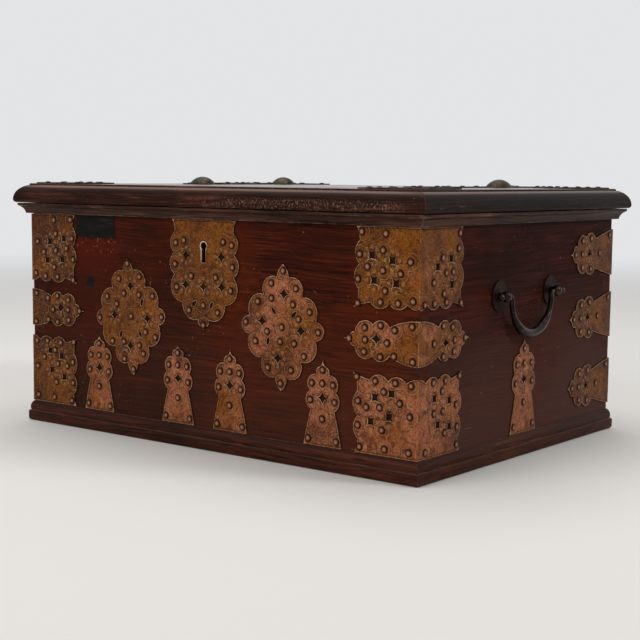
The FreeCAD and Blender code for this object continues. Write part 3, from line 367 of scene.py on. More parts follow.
boardAge = {"warmSpots": (9, 2, 0.5, 0.46, 0.64), "warmShare": 0.5,
            "duskLevels": (0.03, 0.17), "duskRagged": 0.12,        # heights in metres
            "leftEnds": (-0.19, 0.03), "leftRagged": 0.2,          # metres along the front
            "scratches": (900, (0.3, 0.5, 0.8), 0.56), "scratchShare": 0.3, "scratchRough": 0.2,
            "flecks": (300, 2, 0.6, 0.68, 0.74), "fleckZones": (19, 2, 0.5, 0.48, 0.58), "fleckShare": 0.5,
            "dirtNoise": (240, 3, 0.6), "dirtRagged": 1.6, "dirtReach": (0.1, 1.7), "dirtShare": 0.85,
            "dirtRough": 0.2, "roughSway": 0.16, "bump": (0.2, 0.25),
            "withinSquare": (0.6, 0.8), "rawShare": 0.45, "rawRough": 0.2}
patchAge = {"noise": (190, 4, 0.65),        # the reaches below are in metres
            "glowAside": (-0.004, 0.016), "glowBelow": (0.012, 0.05),
            "glowRagged": 0.03, "glowShare": 0.55, "glowUneven": 0.5, "scorchReach": (0.0004, 0.0032),
            "scorchRagged": 0.012, "scorchShare": 0.9, "flecks": (420, 3, 0.6, 0.6, 0.68),
            "fleckRise": (-0.004, 0.004), "fleckFall": (0.006, 0.022), "fleckAside": (-0.002, 0.014),
            "fleckShare": 0.5}


def patchMarks(finish, colour, patches, look):
    # scorched round the patch, with bare flecks, and redder below it
    leftEnd, rightEnd, lowEnd = look["patch"]
    aside = (finish.axis(0) - (leftEnd + rightEnd) / 2).maths("ABSOLUTE") - (rightEnd - leftEnd) / 2
    below = lowEnd - finish.axis(2)
    ragged = finish.cloud(*patchAge["noise"])
    glowEnd = below + sway(ragged, patchAge["glowRagged"])
    glow = finish.fade(aside, *patchAge["glowAside"]) * finish.fade(glowEnd, *patchAge["glowBelow"])
    glow = glow * (patchAge["glowShare"] - patches * patchAge["glowUneven"])
    outside = aside.maths("MAXIMUM", below) + sway(ragged, patchAge["scorchRagged"])
    scorch = finish.fade(outside, *patchAge["scorchReach"])
    flecks = finish.spots(*patchAge["flecks"]) * finish.fade(aside, *patchAge["fleckAside"])
    flecks = flecks * finish.window(below, patchAge["fleckRise"], patchAge["fleckFall"])
    colour = finish.blend(glow, colour, look["ember"])
    colour = finish.blend(scorch * patchAge["scorchShare"], colour, look["soot"])
    return finish.blend(flecks * patchAge["fleckShare"], colour, look["bare"])


def boardWood(name, along, inward, look=boardLook, mounted=True):
    finish = newFinish(name)
    colour, fibre, pores, patches = grain(finish, along, look)
    if "dusk" in look:
        # warmer in places, and duller and greyer towards the bottom
        warm = finish.spots(*boardAge["warmSpots"])
        colour = finish.blend(warm * boardAge["warmShare"], colour, look["warm"])
        level = finish.axis(2) + sway(patches, boardAge["duskRagged"])
        dusk = finish.fade(level, *boardAge["duskLevels"])
        colour = finish.blend(dusk * look["dull"], colour, look["dusk"])
    if "leftShade" in look:
        # painted shade: the front board is drawn darker towards its left end
        place = finish.axis(0) + sway(patches, boardAge["leftRagged"])
        leftward = finish.fade(place, *boardAge["leftEnds"])
        colour = finish.blend(leftward * look["leftShade"], colour, look["dark"])
    if "patch" in look:
        colour = patchMarks(finish, colour, patches, look)
    marks = scratches(finish, *boardAge["scratches"])
    flecks = finish.spots(*boardAge["flecks"]) * finish.spots(*boardAge["fleckZones"])
    bare = marks * boardAge["scratchShare"] + flecks * boardAge["fleckShare"]
    colour = finish.blend(bare, colour, look["bare"])
    rough = look["rough"] + sway(patches, boardAge["roughSway"]) + marks * boardAge["scratchRough"]
    if mounted:
        # old wax and dirt lie against the mounts and in their holes, with painted shade along the mounts'
        # edges and in the holes
        ragged = sway(finish.cloud(*boardAge["dirtNoise"]), boardAge["dirtRagged"])
        dirtAndShade = finish.fade(finish.value("mountDistance") + ragged, *boardAge["dirtReach"])
        colour = finish.blend(dirtAndShade * boardAge["dirtShare"], colour, look["grimeAndShade"])
        rough = rough + dirtAndShade * boardAge["dirtRough"]
    # the face inside the box is left raw
    within = finish.band(finish.facing(inward), *boardAge["withinSquare"])
    raw = finish.blend(boardAge["rawShare"], colour, look["bare"])
    colour = finish.blend(within, colour, raw)
    normal = finish.bump(fibre * 0.6 - pores * 0.5 - marks * 0.4, *boardAge["bump"])
    return finish.surface({"Base Color": colour, "Roughness": rough + within * boardAge["rawRough"],
                           "Normal": normal, "Specular IOR Level": look["gloss"]})


# mouldings

mouldingLook = {"dark": tone(28, 15, 11), "middle": tone(56, 34, 26), "light": tone(98, 65, 51),
                "pore": tone(17, 9, 7), "bare": tone(168, 132, 112), "along": 8, "across": 520,
                "broad": 60, "rough": 0.4, "gloss": 0.06, "sheen": tone(124, 101, 90),
                "sheenShare": 0.35, "rubbed": 0.2}
lidFrontLook = {**mouldingLook, "dark": tone(20, 8, 6), "middle": tone(52, 26, 18),
                "light": tone(108, 62, 46), "gloss": 0.03, "sheenShare": 0.8, "rubbed": 0.08, "chatter": 0.4}
lidSideLook = {**mouldingLook, "dark": tone(14, 9, 9), "middle": tone(30, 20, 18), "light": tone(58, 41, 36),
               "gloss": 0.04, "sheenShare": 0.7, "rubbed": 0.08}
plinthLook = {**mouldingLook, "dark": tone(34, 15, 9), "middle": tone(60, 28, 17), "light": tone(92, 48, 31),
              "rubbed": 0.14}
mouldingAge = {"rub": (90, 4, 0.65), "edgeRagged": 3.4, "edgeReach": (0.0, 0.8), "edgeRough": 0.1,
               "knocks": (260, 3, 0.6, 0.64, 0.72), "knockZones": (0.52, 0.67), "knockShare": 0.14,
               "scratches": (700, (0.0, 0.0, 0.3), 0.6), "scratchShare": 0.4,
               "crownRise": (0.8, 0.93), "crownFall": (0.985, 0.998),        # by how far a face looks up
               "bellyRise": (0.35, 0.6), "bellyFall": (0.7, 0.84), "bellyShare": 0.6,
               "levelRise": (0.9, 0.98), "levelPolish": 0.2, "roughSway": 0.2, "bump": (0.25, 0.3)}
chatterWork = {"strokes": (1, 3, 0.65), "scale": (760, 760, 420), "wander": (60, 4), "reach": (0.52, 0.66),
               "zoneRise": (-0.04, 0.07), "zoneFall": (0.2, 0.26), "zoneRagged": 0.1,        # metres
               "faceRise": (0.3, 0.6), "browFall": (0.3, 0.55), "endSquares": (0.044, 0.06), "endShare": 0.6}


def chatterMarks(finish, colour, patches, upward, look):
    # small pale marks down the front of the lid's nose, and darker ends
    wandering = finish.spread(chatterWork["scale"], finish.bent(*chatterWork["wander"]))
    strokes = finish.band(finish.cloud(*chatterWork["strokes"], wandering), *chatterWork["reach"])
    place = finish.axis(0) + sway(patches, chatterWork["zoneRagged"])
    zone = finish.window(place, chatterWork["zoneRise"], chatterWork["zoneFall"])
    face = finish.band(finish.facing(outwardOf["front"]), *chatterWork["faceRise"])
    face = face * finish.fade(upward, *chatterWork["browFall"])
    colour = finish.blend(strokes * zone * face * look["chatter"], colour, look["bare"])
    ends = finish.band(finish.axis(0) * finish.axis(0), *chatterWork["endSquares"])
    return finish.blend(ends * chatterWork["endShare"], colour, look["dark"])


def mouldingWood(name, along, look):
    finish = newFinish(name)
    colour, fibre, pores, patches = grain(finish, along, look)
    # the crown of the moulding carries a painted highlight, a sheen, and its belly painted shade, darker
    upward = finish.facing(top)
    crown = finish.window(upward, mouldingAge["crownRise"], mouldingAge["crownFall"])
    belly = finish.window(upward, mouldingAge["bellyRise"], mouldingAge["bellyFall"])
    level = finish.band(upward, *mouldingAge["levelRise"])
    colour = finish.blend(belly * mouldingAge["bellyShare"], colour, look["dark"])
    colour = finish.blend(crown * look["sheenShare"], colour, look["sheen"])
    if "chatter" in look:
        colour = chatterMarks(finish, colour, patches, upward, look)
    # the edges have rubbed through to paler wood, with knocks and scratches
    rub = finish.cloud(*mouldingAge["rub"])
    fromEdge = finish.value("edgeDistance") + sway(rub, mouldingAge["edgeRagged"])
    edge = finish.fade(fromEdge, *mouldingAge["edgeReach"])
    knocks = finish.spots(*mouldingAge["knocks"]) * finish.band(rub, *mouldingAge["knockZones"])
    marks = scratches(finish, *mouldingAge["scratches"])
    bare = edge * look["rubbed"] + knocks * mouldingAge["knockShare"] + marks * mouldingAge["scratchShare"]
    colour = finish.blend(bare, colour, look["bare"])
    rough = look["rough"] + sway(patches, mouldingAge["roughSway"])
    rough = rough + edge * mouldingAge["edgeRough"] - level * mouldingAge["levelPolish"]
    normal = finish.bump(fibre * 0.6 - pores * 0.4 - knocks * 0.8 + rub * 0.4, *mouldingAge["bump"])
    return finish.surface({"Base Color": colour, "Roughness": rough, "Normal": normal,
                           "Specular IOR Level": look["gloss"]})


# plate metal, with distances in millimetres

plateLook = {"copper": tone(148, 84, 52), "gold": tone(112, 60, 4), "stain": tone(68, 32, 18),
             "fresh": tone(190, 122, 86), "pit": tone(36, 15, 8), "rim": tone(200, 156, 114),
             "groove": tone(46, 23, 12), "fold": tone(176, 122, 52), "glint": tone(170, 116, 30),
             "collar": tone(30, 14, 9), "rough": 0.42, "metal": 0.5, "gloss": 0.15}
# the lid's plates: the same brass drawn darker all over, painted shade
shadedLidPlateLook = {**plateLook, "copper": tone(66, 46, 34), "gold": tone(54, 40, 22), "stain": tone(32, 23, 18),
                "fresh": tone(86, 64, 50), "rim": tone(110, 92, 76), "glint": tone(92, 72, 40)}
lockPlateLook = {**plateLook, "lip": tone(216, 194, 166)}
plateWork = {"cloud": (38, 5, 0.62), "mottle": (190, 4, 0.7), "speck": (620, 3, 0.7),
             "goldCloud": (21, 3, 0.5), "goldReach": (0.38, 0.66),
             "freshSpots": (70, 4, 0.66, 0.5, 0.7), "freshShare": 0.55, "freshLost": 0.4,
             "tarnishReach": (0.45, 0.72), "tarnishShare": 0.85,
             "mottleReach": (0.5, 0.64), "mottleShare": 0.55,
             "brightSpecks": (0.5, 0.36), "brightMottle": (0.58, 0.42), "brightShare": 0.35,
             "pitReach": (0.55, 0.64), "pitShare": 0.6, "bump": (0.5, 0.4)}
engraving = {"ringRadius": 8.2, "ringHalf": 0.6, "ringShare": 0.5,
             "lipRadius": 7.5, "lipHalf": 0.45, "lipMottle": (0.4, 0.6), "lipShare": 0.3,
             "punches": 8, "punchRadius": 7.2, "punchSize": 1.0, "punchHalf": 0.45, "punchShare": 0.35}
plateEdges = {"rimReach": (0.25, 0.7), "rimMottle": (0.36, 0.54), "rimShare": 0.75,
              "lean": 1.3, "unlitReach": (-1.5, 1.5), "unlitEnd": (6, 7.5), "unlitShare": 0.85,
              "foldReach": (0.2, 1.0), "foldMottle": (0.46, 0.58), "foldShare": 0.6,
              "gutterPlace": 1.3, "gutterHalf": 0.9, "gutterShare": 0.5,
              "collarReach": (3.35, 4.15), "collarRagged": 0.8, "collarShare": 0.92}
keyhole = {"halfWidth": 0.0075, "halfHeight": 0.0135, "level": 0.1795,        # metres
           "roundEnd": (0.8, 1.0), "rimReach": (0.7, 1.3), "leanReach": (-0.5, 0.3), "share": 0.85}


def plateColours(finish, mottle, cloud, look):
    # copper and gold in clouds, with fresh metal, tarnish, bright specks and pits
    speck = finish.cloud(*plateWork["speck"])
    golden = finish.cloud(*plateWork["goldCloud"]) + finish.value("goldShare")
    share = finish.band(golden, *plateWork["goldReach"])
    colour = finish.blend(share, look["copper"], look["gold"])
    freshShare = plateWork["freshShare"] - share * plateWork["freshLost"]
    colour = finish.blend(finish.spots(*plateWork["freshSpots"]) * freshShare, colour, look["fresh"])
    # the tarnish value, raised on some plates, adds painted shade on them
    tarnish = finish.band(cloud + finish.value("tarnish"), *plateWork["tarnishReach"])
    colour = finish.blend(tarnish * plateWork["tarnishShare"], colour, look["stain"])
    blotch = finish.band(mottle, *plateWork["mottleReach"])
    colour = finish.blend(blotch * plateWork["mottleShare"], colour, look["groove"])
    bright = finish.band(speck, *plateWork["brightSpecks"]) * finish.band(mottle, *plateWork["brightMottle"])
    shine = finish.blend(share, look["rim"], look["glint"])
    colour = finish.blend(bright * plateWork["brightShare"], colour, shine)
    pits = finish.band(speck, *plateWork["pitReach"])
    return finish.blend(pits * plateWork["pitShare"], colour, look["pit"]), pits


def punchRing(finish, across, upward, reach):
    # small round punches in a ring about each star, all drawn as the one in the nearest sector
    sector = 2 * math.pi / engraving["punches"]
    turns = upward.maths("ARCTAN2", across) / sector
    swing = (turns - turns.maths("ROUND")) * sector
    offset = reach * swing.maths("COSINE") - engraving["punchRadius"]
    aside = reach * swing.maths("SINE")
    return finish.line(hypotenuse(offset, aside), engraving["punchSize"], engraving["punchHalf"])


def keyholeLip(finish, edge):
    # the keyhole is rubbed bright by its key, most at the upper left
    aside = finish.axis(0) / keyhole["halfWidth"]
    rise = (finish.axis(2) - keyhole["level"]) / keyhole["halfHeight"]
    near = finish.fade(aside * aside + rise * rise, *keyhole["roundEnd"])
    return near * finish.fade(edge, *keyhole["rimReach"]) * finish.band(rise - aside, *keyhole["leanReach"])


def plateMetal(name, look=plateLook):
    finish = newFinish(name)
    cloud = finish.cloud(*plateWork["cloud"])
    mottle = finish.cloud(*plateWork["mottle"])
    colour, pits = plateColours(finish, mottle, cloud, look)
    # engraved circles round the nails, each with a pale inner lip, and punches round the stars
    nail = finish.value("nailDistance")
    circle = finish.line(nail, engraving["ringRadius"], engraving["ringHalf"])
    lip = finish.line(nail, engraving["lipRadius"], engraving["lipHalf"])
    lip = lip * finish.band(mottle, *engraving["lipMottle"])
    across = finish.value("starAcross")
    upward = finish.value("starUpward")
    reach = hypotenuse(across, upward)
    punch = punchRing(finish, across, upward, reach)
    # pale rims, partly rubbed wear and partly painted highlight, on the stars only towards the lower left
    # where they face the light, and a thin golden line on the fold, a painted highlight
    edge = finish.value("edgeDistance")
    unlit = finish.band(across + upward * plateEdges["lean"], *plateEdges["unlitReach"])
    unlit = unlit * finish.fade(reach, *plateEdges["unlitEnd"])
    rim = finish.fade(edge, *plateEdges["rimReach"]) * finish.band(mottle, *plateEdges["rimMottle"])
    rim = rim * (1 - unlit * plateEdges["unlitShare"])
    fold = finish.fade(finish.value("foldDistance"), *plateEdges["foldReach"])
    fold = fold * finish.band(mottle, *plateEdges["foldMottle"])
    # a darker line just inside each edge of the sheet is painted shade
    edgeShade = finish.line(edge, plateEdges["gutterPlace"], plateEdges["gutterHalf"])
    # the dark collar round each nail is dirt, and painted shadow under the head
    collar = finish.fade(nail + sway(mottle, plateEdges["collarRagged"]), *plateEdges["collarReach"])
    colour = finish.blend(edgeShade * plateEdges["gutterShare"], colour, look["groove"])
    colour = finish.blend(circle * engraving["ringShare"], colour, look["groove"])
    colour = finish.blend(lip * engraving["lipShare"], colour, look["rim"])
    colour = finish.blend(punch * engraving["punchShare"], colour, look["rim"])
    colour = finish.blend(rim * plateEdges["rimShare"], colour, look["rim"])
    if "lip" in look:
        colour = finish.blend(keyholeLip(finish, edge) * keyhole["share"], colour, look["lip"])
    colour = finish.blend(fold * plateEdges["foldShare"], colour, look["fold"])
    colour = finish.blend(collar * plateEdges["collarShare"], colour, look["collar"])
    height = cloud * 0.6 + mottle * 0.4 - pits * 0.3 - circle * 0.5 - edgeShade * 0.3 + punch * 0.3
    rough = look["rough"] + mottle * 0.22 - rim * 0.1 + pits * 0.1 + collar * 0.15
    return finish.surface({"Base Color": colour, "Metallic": look["metal"], "Roughness": rough,
                           "Normal": finish.bump(height, *plateWork["bump"]),
                           "Specular IOR Level": look["gloss"]})


# nail metal

nailLook = {"top": tone(152, 105, 74), "side": tone(106, 66, 43), "foot": tone(28, 14, 9),
            "rough": 0.36, "metal": 0.4, "gloss": 0.25}
# the lid's nails: drawn darker all over, painted shade
shadedLidNailLook = {**nailLook, "top": tone(88, 70, 56), "side": tone(58, 43, 34), "foot": tone(26, 17, 13)}
nailWear = {"noise": (210, 4, 0.65), "ragged": 0.35, "stops": (0.04, 0.2, 0.62, 0.8, 0.95),
            "dents": (900, 3, 0.6), "bump": (0.25, 0.15), "roughShare": 0.2}


def nailMetal(name, look=nailLook):
    # heads rubbed pale in a ring, with dirt and painted shadow at the foot and a darker dimple
    finish = newFinish(name)
    cloud = finish.cloud(*nailWear["noise"])
    ring = finish.value("headReach") + sway(cloud, nailWear["ragged"])
    colours = [look[part] for part in ("side", "top", "top", "side", "foot")]
    rough = look["rough"] + cloud * nailWear["roughShare"]
    return finish.surface({"Base Color": finish.ramp(ring, nailWear["stops"], colours),
                           "Metallic": look["metal"], "Roughness": rough,
                           "Specular IOR Level": look["gloss"],
                           "Normal": finish.bump(finish.cloud(*nailWear["dents"]), *nailWear["bump"])})


# forged fittings

ironLook = {"dark": tone(18, 12, 10), "middle": tone(38, 28, 23), "rust": tone(46, 30, 23),
            "worn": tone(120, 105, 94), "rough": 0.1, "metal": 0.7, "gloss": 0.2}
roseLook = {"dark": tone(15, 9, 7), "middle": tone(38, 25, 20), "rust": tone(46, 24, 17),
            "worn": tone(62, 48, 42), "rough": 0.4, "metal": 0.3, "gloss": 0.05}
bronzeLook = {"dark": tone(26, 23, 17), "middle": tone(54, 46, 32), "rust": tone(48, 39, 27),
              "worn": tone(112, 98, 72), "rough": 0.28, "metal": 0.9, "gloss": 0.3}
forgeWork = {"cloud": (60, 4, 0.6), "stops": (0.3, 0.62), "fine": (480, 4, 0.65), "rustReach": (0.55, 0.7),
             "rustShare": 0.5, "rubbed": (130, 5, 0.7, 0.5, 0.66), "rubbedShare": 0.28, "bump": (0.25, 0.3)}
ironFittings = ("lock_case", "lock_cap", "lock_bolt", "lock_spring", "lock_screws", "hinge_leaf_box_left",
                "hinge_leaf_box_right", "hinge_leaf_lid_left", "hinge_leaf_lid_right", "hinge_pin_left",
                "hinge_pin_right", "hinge_screws", "lid_screws", "lid_staple", "handle_posts",
                "handle_washers", "bail_left", "bail_right")


def forgedMetal(name, look):
    finish = newFinish(name)
    cloud = finish.cloud(*forgeWork["cloud"])
    fine = finish.cloud(*forgeWork["fine"])
    colour = finish.ramp(cloud, forgeWork["stops"], (look["dark"], look["middle"]))
    rust = finish.band(fine, *forgeWork["rustReach"])
    colour = finish.blend(rust * forgeWork["rustShare"], colour, look["rust"])
    rubbed = finish.spots(*forgeWork["rubbed"])
    colour = finish.blend(rubbed * forgeWork["rubbedShare"], colour, look["worn"])
    return finish.surface({"Base Color": colour, "Metallic": look["metal"],
                           "Roughness": look["rough"] + fine * 0.2 - rubbed * 0.06,
                           "Normal": finish.bump(fine * 0.6 + cloud, *forgeWork["bump"]),
                           "Specular IOR Level": look["gloss"]})


def coat(node, finish):
    nodes[node].data.materials.clear()
    nodes[node].data.materials.append(finish)


coat("bottom_board", boardWood("bottomWood", 0, top, mounted=False))
coat("front_repairs", boardWood("repairWood", 0, back, repairLook, mounted=False))
ironFinish = forgedMetal("forgedIron", ironLook)
for node in ironFittings:
    coat(node, ironFinish)
coat("handle_roses", forgedMetal("roseIron", roseLook))
coat("lid_domes", forgedMetal("darkBronze", bronzeLook))
print("fittings finished")


# mouldings, softened by wear

railWear = {"cutSpacing": 8, "bevel": 0.35, "sharp": 25, "wave": 0.08, "waveScale": 38,
            "edgeSpacing": 2, "smooth": 32}
rails = {"plinth": ("carcass", "moulding_wood", plinthLook, plinthLook),
         "rim_moulding": ("carcass", "moulding_wood", mouldingLook, mouldingLook),
         "lid_moulding": ("lid", "lid_wood", lidFrontLook, lidSideLook)}


def sharpLines(piece):
    shape = bmesh.new()
    shape.from_mesh(piece.data)
    points = []
    for edge in shape.edges:
        if edge.is_manifold and edge.calc_face_angle() > math.radians(railWear["sharp"]):
            start, end = (corner.co for corner in edge.verts)
            points += alongLine(start, end, railWear["edgeSpacing"])
            points.append(end.copy())
    shape.free()
    return points


def ripple(piece):
    normals = [corner.normal.copy() for corner in piece.data.vertices]
    for corner, normal in zip(piece.data.vertices, normals):
        depth = noise.noise(corner.co * railWear["waveScale"]) + 1
        moved = corner.co - normal * depth * railWear["wave"] * mm
        for axis in (0, 1):        # a mitred end is not pushed out past the box
            moved[axis] = min(max(moved[axis], cadBox[0][axis]), cadBox[1][axis])
        corner.co = moved


for kind, (body, slot, longLook, shortLook) in rails.items():
    railFinish = [mouldingWood(kind + "WoodLong", 0, longLook),
                  mouldingWood(kind + "WoodShort", 1, shortLook)]
    for side, along in (("front", 0), ("back", 0), ("left", 1), ("right", 1)):
        node = kind + "_" + side
        rail = copyOfNode(node, node + ".worn")
        edges = sharpLines(rail)
        cutAcross(rail, along, railWear["cutSpacing"])
        softenEdges(rail, railWear["bevel"], railWear["sharp"])
        ripple(rail)
        giveValues(rail, "edgeDistance", distances(rail, edges))
        finishPiece(rail, railFinish[along], body, node, railWear["smooth"])
print("mouldings softened")


# pierced plates

sheetWork = {"cutSpacing": 2.6, "bevel": 0.22, "sharp": 40, "wave": 0.16, "waveScale": 42, "swellSquare": 0.6,
             "nailReach": 1.3, "starReach": (4.9, 6.4), "outlineReach": 12, "rimSpacing": 0.6,
             "foldDepth": 0.1, "farFold": 99.0, "smooth": 35}
nailSpots = {side: [] for side in outwardOf}
outlines = {side: [] for side in outwardOf}


def rimLoops(piece, outward):
    # closed rims of one face of the sheet: its outline, stars, slits and nail holes
    level = outermost(piece, outward) - meshCare["faceDepth"] * mm
    shape = bmesh.new()
    shape.from_mesh(piece.data)
    follow = {}
    for edge in shape.edges:
        shown = [face.normal.dot(outward) > meshCare["faceSquare"]
                 and face.calc_center_median().dot(outward) > level for face in edge.link_faces]
        if len(shown) == 2 and shown[0] != shown[1]:
            start, end = edge.verts
            follow.setdefault(start, []).append(end)
            follow.setdefault(end, []).append(start)
    loops = []
    while follow:
        corner = next(iter(follow))
        loop = []
        while corner in follow:
            loop.append(corner.co.copy())
            onward = [other for other in follow.pop(corner) if other in follow]
            corner = onward[0] if onward else None
        loops.append(loop)
    shape.free()
    return loops


def loopCentre(loop):
    low = Vector([min(point[axis] for point in loop) for axis in range(3)])
    high = Vector([max(point[axis] for point in loop) for axis in range(3)])
    return (low + high) / 2


def sortRims(piece, shownSides, faces):
    # the places of nails and stars, and points along the edges, without the line where the sheet is folded
    def onFold(point):
        depth = sheetWork["foldDepth"] * mm
        return len(faces) > 1 and all(point.dot(outward) > level - depth for outward, level in faces)

    edges = []
    stars = []
    nails = []
    for side in shownSides:
        outward = outwardOf[side]
        for loop in rimLoops(piece, outward):
            centre = loopCentre(loop)
            size = max((point - centre).length for point in loop) / mm
            if size < sheetWork["nailReach"]:
                nails.append(centre)
                nailSpots[side].append((centre, outward))
                continue
            for start, end in zip(loop, loop[1:] + loop[:1]):
                if not onFold(start) or not onFold(end):
                    edges += alongLine(start, end, sheetWork["rimSpacing"])
            if sheetWork["starReach"][0] < size < sheetWork["starReach"][1]:
                stars.append((centre, outward))
            if size > sheetWork["outlineReach"]:
                outlines[side].append(loop)
    return edges, stars, nails


def giveStarPlaces(piece, stars):
    # each point's place across and upward from the star that is nearest to it
    tree = nearest([centre for centre, outward in stars])
    across = []
    upward = []
    for corner in piece.data.vertices:
        centre, index = tree.find(corner.co)[:2]
        outward = stars[index][1]
        rise = back if outward == top else top
        across.append((corner.co - centre).dot(rise.cross(outward)) / mm)
        upward.append((corner.co - centre).dot(rise) / mm)
    giveValues(piece, "starAcross", across)
    giveValues(piece, "starUpward", upward)


def buckle(piece, shownSides):
    # the beaten sheet is never quite flat: its shown face swells a little here and there
    normals = [corner.normal.copy() for corner in piece.data.vertices]
    for corner, normal in zip(piece.data.vertices, normals):
        for side in shownSides:
            outward = outwardOf[side]
            if normal.dot(outward) > sheetWork["swellSquare"]:
                swell = noise.noise(corner.co * sheetWork["waveScale"]) + 1
                corner.co += outward * swell * sheetWork["wave"] * mm


def plate(node, shownSides, finish, gold, tarnish=0.0):
    piece = copyOfNode(node, node + ".beaten")
    faces = [(outwardOf[side], outermost(piece, outwardOf[side])) for side in shownSides]
    edges, stars, nails = sortRims(piece, shownSides, faces)
    for axis in range(3):
        cutAcross(piece, axis, sheetWork["cutSpacing"])
    softenEdges(piece, sheetWork["bevel"], sheetWork["sharp"])
    buckle(piece, shownSides)
    corners = piece.data.vertices
    giveValues(piece, "edgeDistance", distances(piece, edges))
    giveValues(piece, "nailDistance", distances(piece, nails))
    giveStarPlaces(piece, stars or [(cadBox[1] * 2, faces[0][0])])        # a plain plate's star is far away
    folds = [sheetWork["farFold"]] * len(corners)
    if len(faces) > 1:
        folds = [max(level - corner.co.dot(outward) for outward, level in faces) / mm for corner in corners]
    giveValues(piece, "foldDistance", folds)
    giveValues(piece, "goldShare", [gold] * len(corners))
    giveValues(piece, "tarnish", [tarnish] * len(corners))
    body = "lid" if "lid" in shownSides else "carcass"
    finishPiece(piece, finish, body, node, sheetWork["smooth"])


sheetFinish = plateMetal("beatenBrass")
plate("lock_plate", ["front"], plateMetal("lockBrass", lockPlateLook), gold=0.5)
plate("medallion_left", ["front"], sheetFinish, gold=0.1)
plate("medallion_right", ["front"], sheetFinish, gold=0.0)
plate("foot_straps_front", ["front"], sheetFinish, gold=-0.1)
for side in ("left", "right"):
    plate("foot_strap_" + side, [side], sheetFinish, gold=-0.1)
# the left corner plates here and the back straps below carry painted shade in their tarnish value
for level, gold in (("top", 0.16), ("middle", 0.05), ("bottom", -0.08)):
    plate("corner_plate_left_" + level, ["front", "left"], sheetFinish, gold + 0.4, tarnish=0.12)
    plate("corner_plate_right_" + level, ["front", "right"], sheetFinish, gold)
for side in ("left", "right"):
    plate("back_straps_" + side, [side, "back"], sheetFinish, gold=0.5, tarnish=0.12)
lidSheetFinish = plateMetal("shadedLidBrass", shadedLidPlateLook)
for node in ("lid_corner_plates", "lid_straps"):
    plate(node, ["lid"], lidSheetFinish, gold=0.1, tarnish=0.15)
print("plates beaten, nails found:", {side: len(spots) for side, spots in nailSpots.items()})


# nails

nailShape = {"sides": 12, "spread": 0.05, "smooth": 35,
             "head": [(2.7, 0.0), (2.64, 0.45), (2.15, 0.84), (1.35, 0.98), (0.75, 0.95), (0.3, 0.86)]}


def turned(name, sides, rings):
    # a closed turned shape: each ring is (radius, height) from the seat up
    startRadius, startHeight = rings[0]
    nextHeight = rings[1][1]
    bpy.ops.object.select_all(action="DESELECT")
    bpy.ops.mesh.primitive_cylinder_add(vertices=sides, radius=startRadius * mm,
                                        depth=(nextHeight - startHeight) * mm,
                                        location=(0, 0, (nextHeight + startHeight) / 2 * mm))
    piece = bpy.context.object
    piece.name = name
    pickOnly(piece)
    bpy.ops.object.transform_apply(location=True, rotation=True, scale=True)
    for face in piece.data.polygons:
        face.select = face.normal.z > meshCare["faceSquare"]
    bpy.ops.object.mode_set(mode="EDIT")
    bpy.ops.mesh.select_mode(type="FACE")
    height, radius = nextHeight, startRadius
    for ringRadius, ringHeight in rings[1:]:
        if ringHeight != height:
            lift = {"value": (0, 0, (ringHeight - height) * mm)}
            bpy.ops.mesh.extrude_region_move(TRANSFORM_OT_translate=lift)
        share = ringRadius / radius
        bpy.ops.transform.resize(value=(share, share, 1), center_override=(0, 0, ringHeight * mm))
        height, radius = ringHeight, ringRadius
    endEdit()
    return piece


def scattered(master, spots, name):
    # a copy on every spot, each turned and sized a little by chance, joined as one piece
    twins = []
    spread = nailShape["spread"]
    for centre, outward in spots:
        twin = master.copy()
        twin.data = master.data.copy()
        bpy.context.scene.collection.objects.link(twin)
        turn = Matrix.Rotation(random.uniform(0, 2 * math.pi), 4, "Z")
        size = Matrix.Scale(1 + random.uniform(-spread, spread), 4)
        stand = outward.to_track_quat("Z", "Y").to_matrix().to_4x4()
        twin.matrix_world = Matrix.Translation(centre) @ stand @ turn @ size
        twins.append(twin)
    bpy.context.view_layer.update()
    pickOnly(*twins)
    bpy.ops.object.join()
    bpy.ops.object.transform_apply(location=True, rotation=True, scale=True)
    twins[0].name = name
    return twins[0]


nailMaster = turned("nailMaster", nailShape["sides"], nailShape["head"])
headRadius = nailShape["head"][0][0] * mm
giveValues(nailMaster, "headReach", [corner.co.xy.length / headRadius for corner in nailMaster.data.vertices])
nailFinish = nailMetal("nailBrass")
lidNailFinish = nailMetal("shadedLidNailBrass", shadedLidNailLook)
for side, spots in nailSpots.items():
    nails = scattered(nailMaster, spots, side + "Nails")
    body, finish = ("lid", lidNailFinish) if side == "lid" else ("carcass", nailFinish)
    finishPiece(nails, finish, body, side + "_nails", nailShape["smooth"])
bpy.data.objects.remove(nailMaster)
print("nails driven")


# boards, with dirt and painted shade against the mounts

boardWork = {"grid": 3, "far": 30.0, "margin": 6, "tiny": 1e-9, "patchAbove": 0.6, "smooth": 30}
boards = {"front_board": (0, 2, "front", "carcass", "carcass_wood", frontLook),
          "back_board": (0, 2, "back", "carcass", "carcass_wood", boardLook),
          "left_board": (1, 2, "left", "carcass", "carcass_wood", sideLook),
          "right_board": (1, 2, "right", "carcass", "carcass_wood", sideLook),
          "lid_panel": (0, 1, "lid", "lid", "lid_wood", lidLook)}


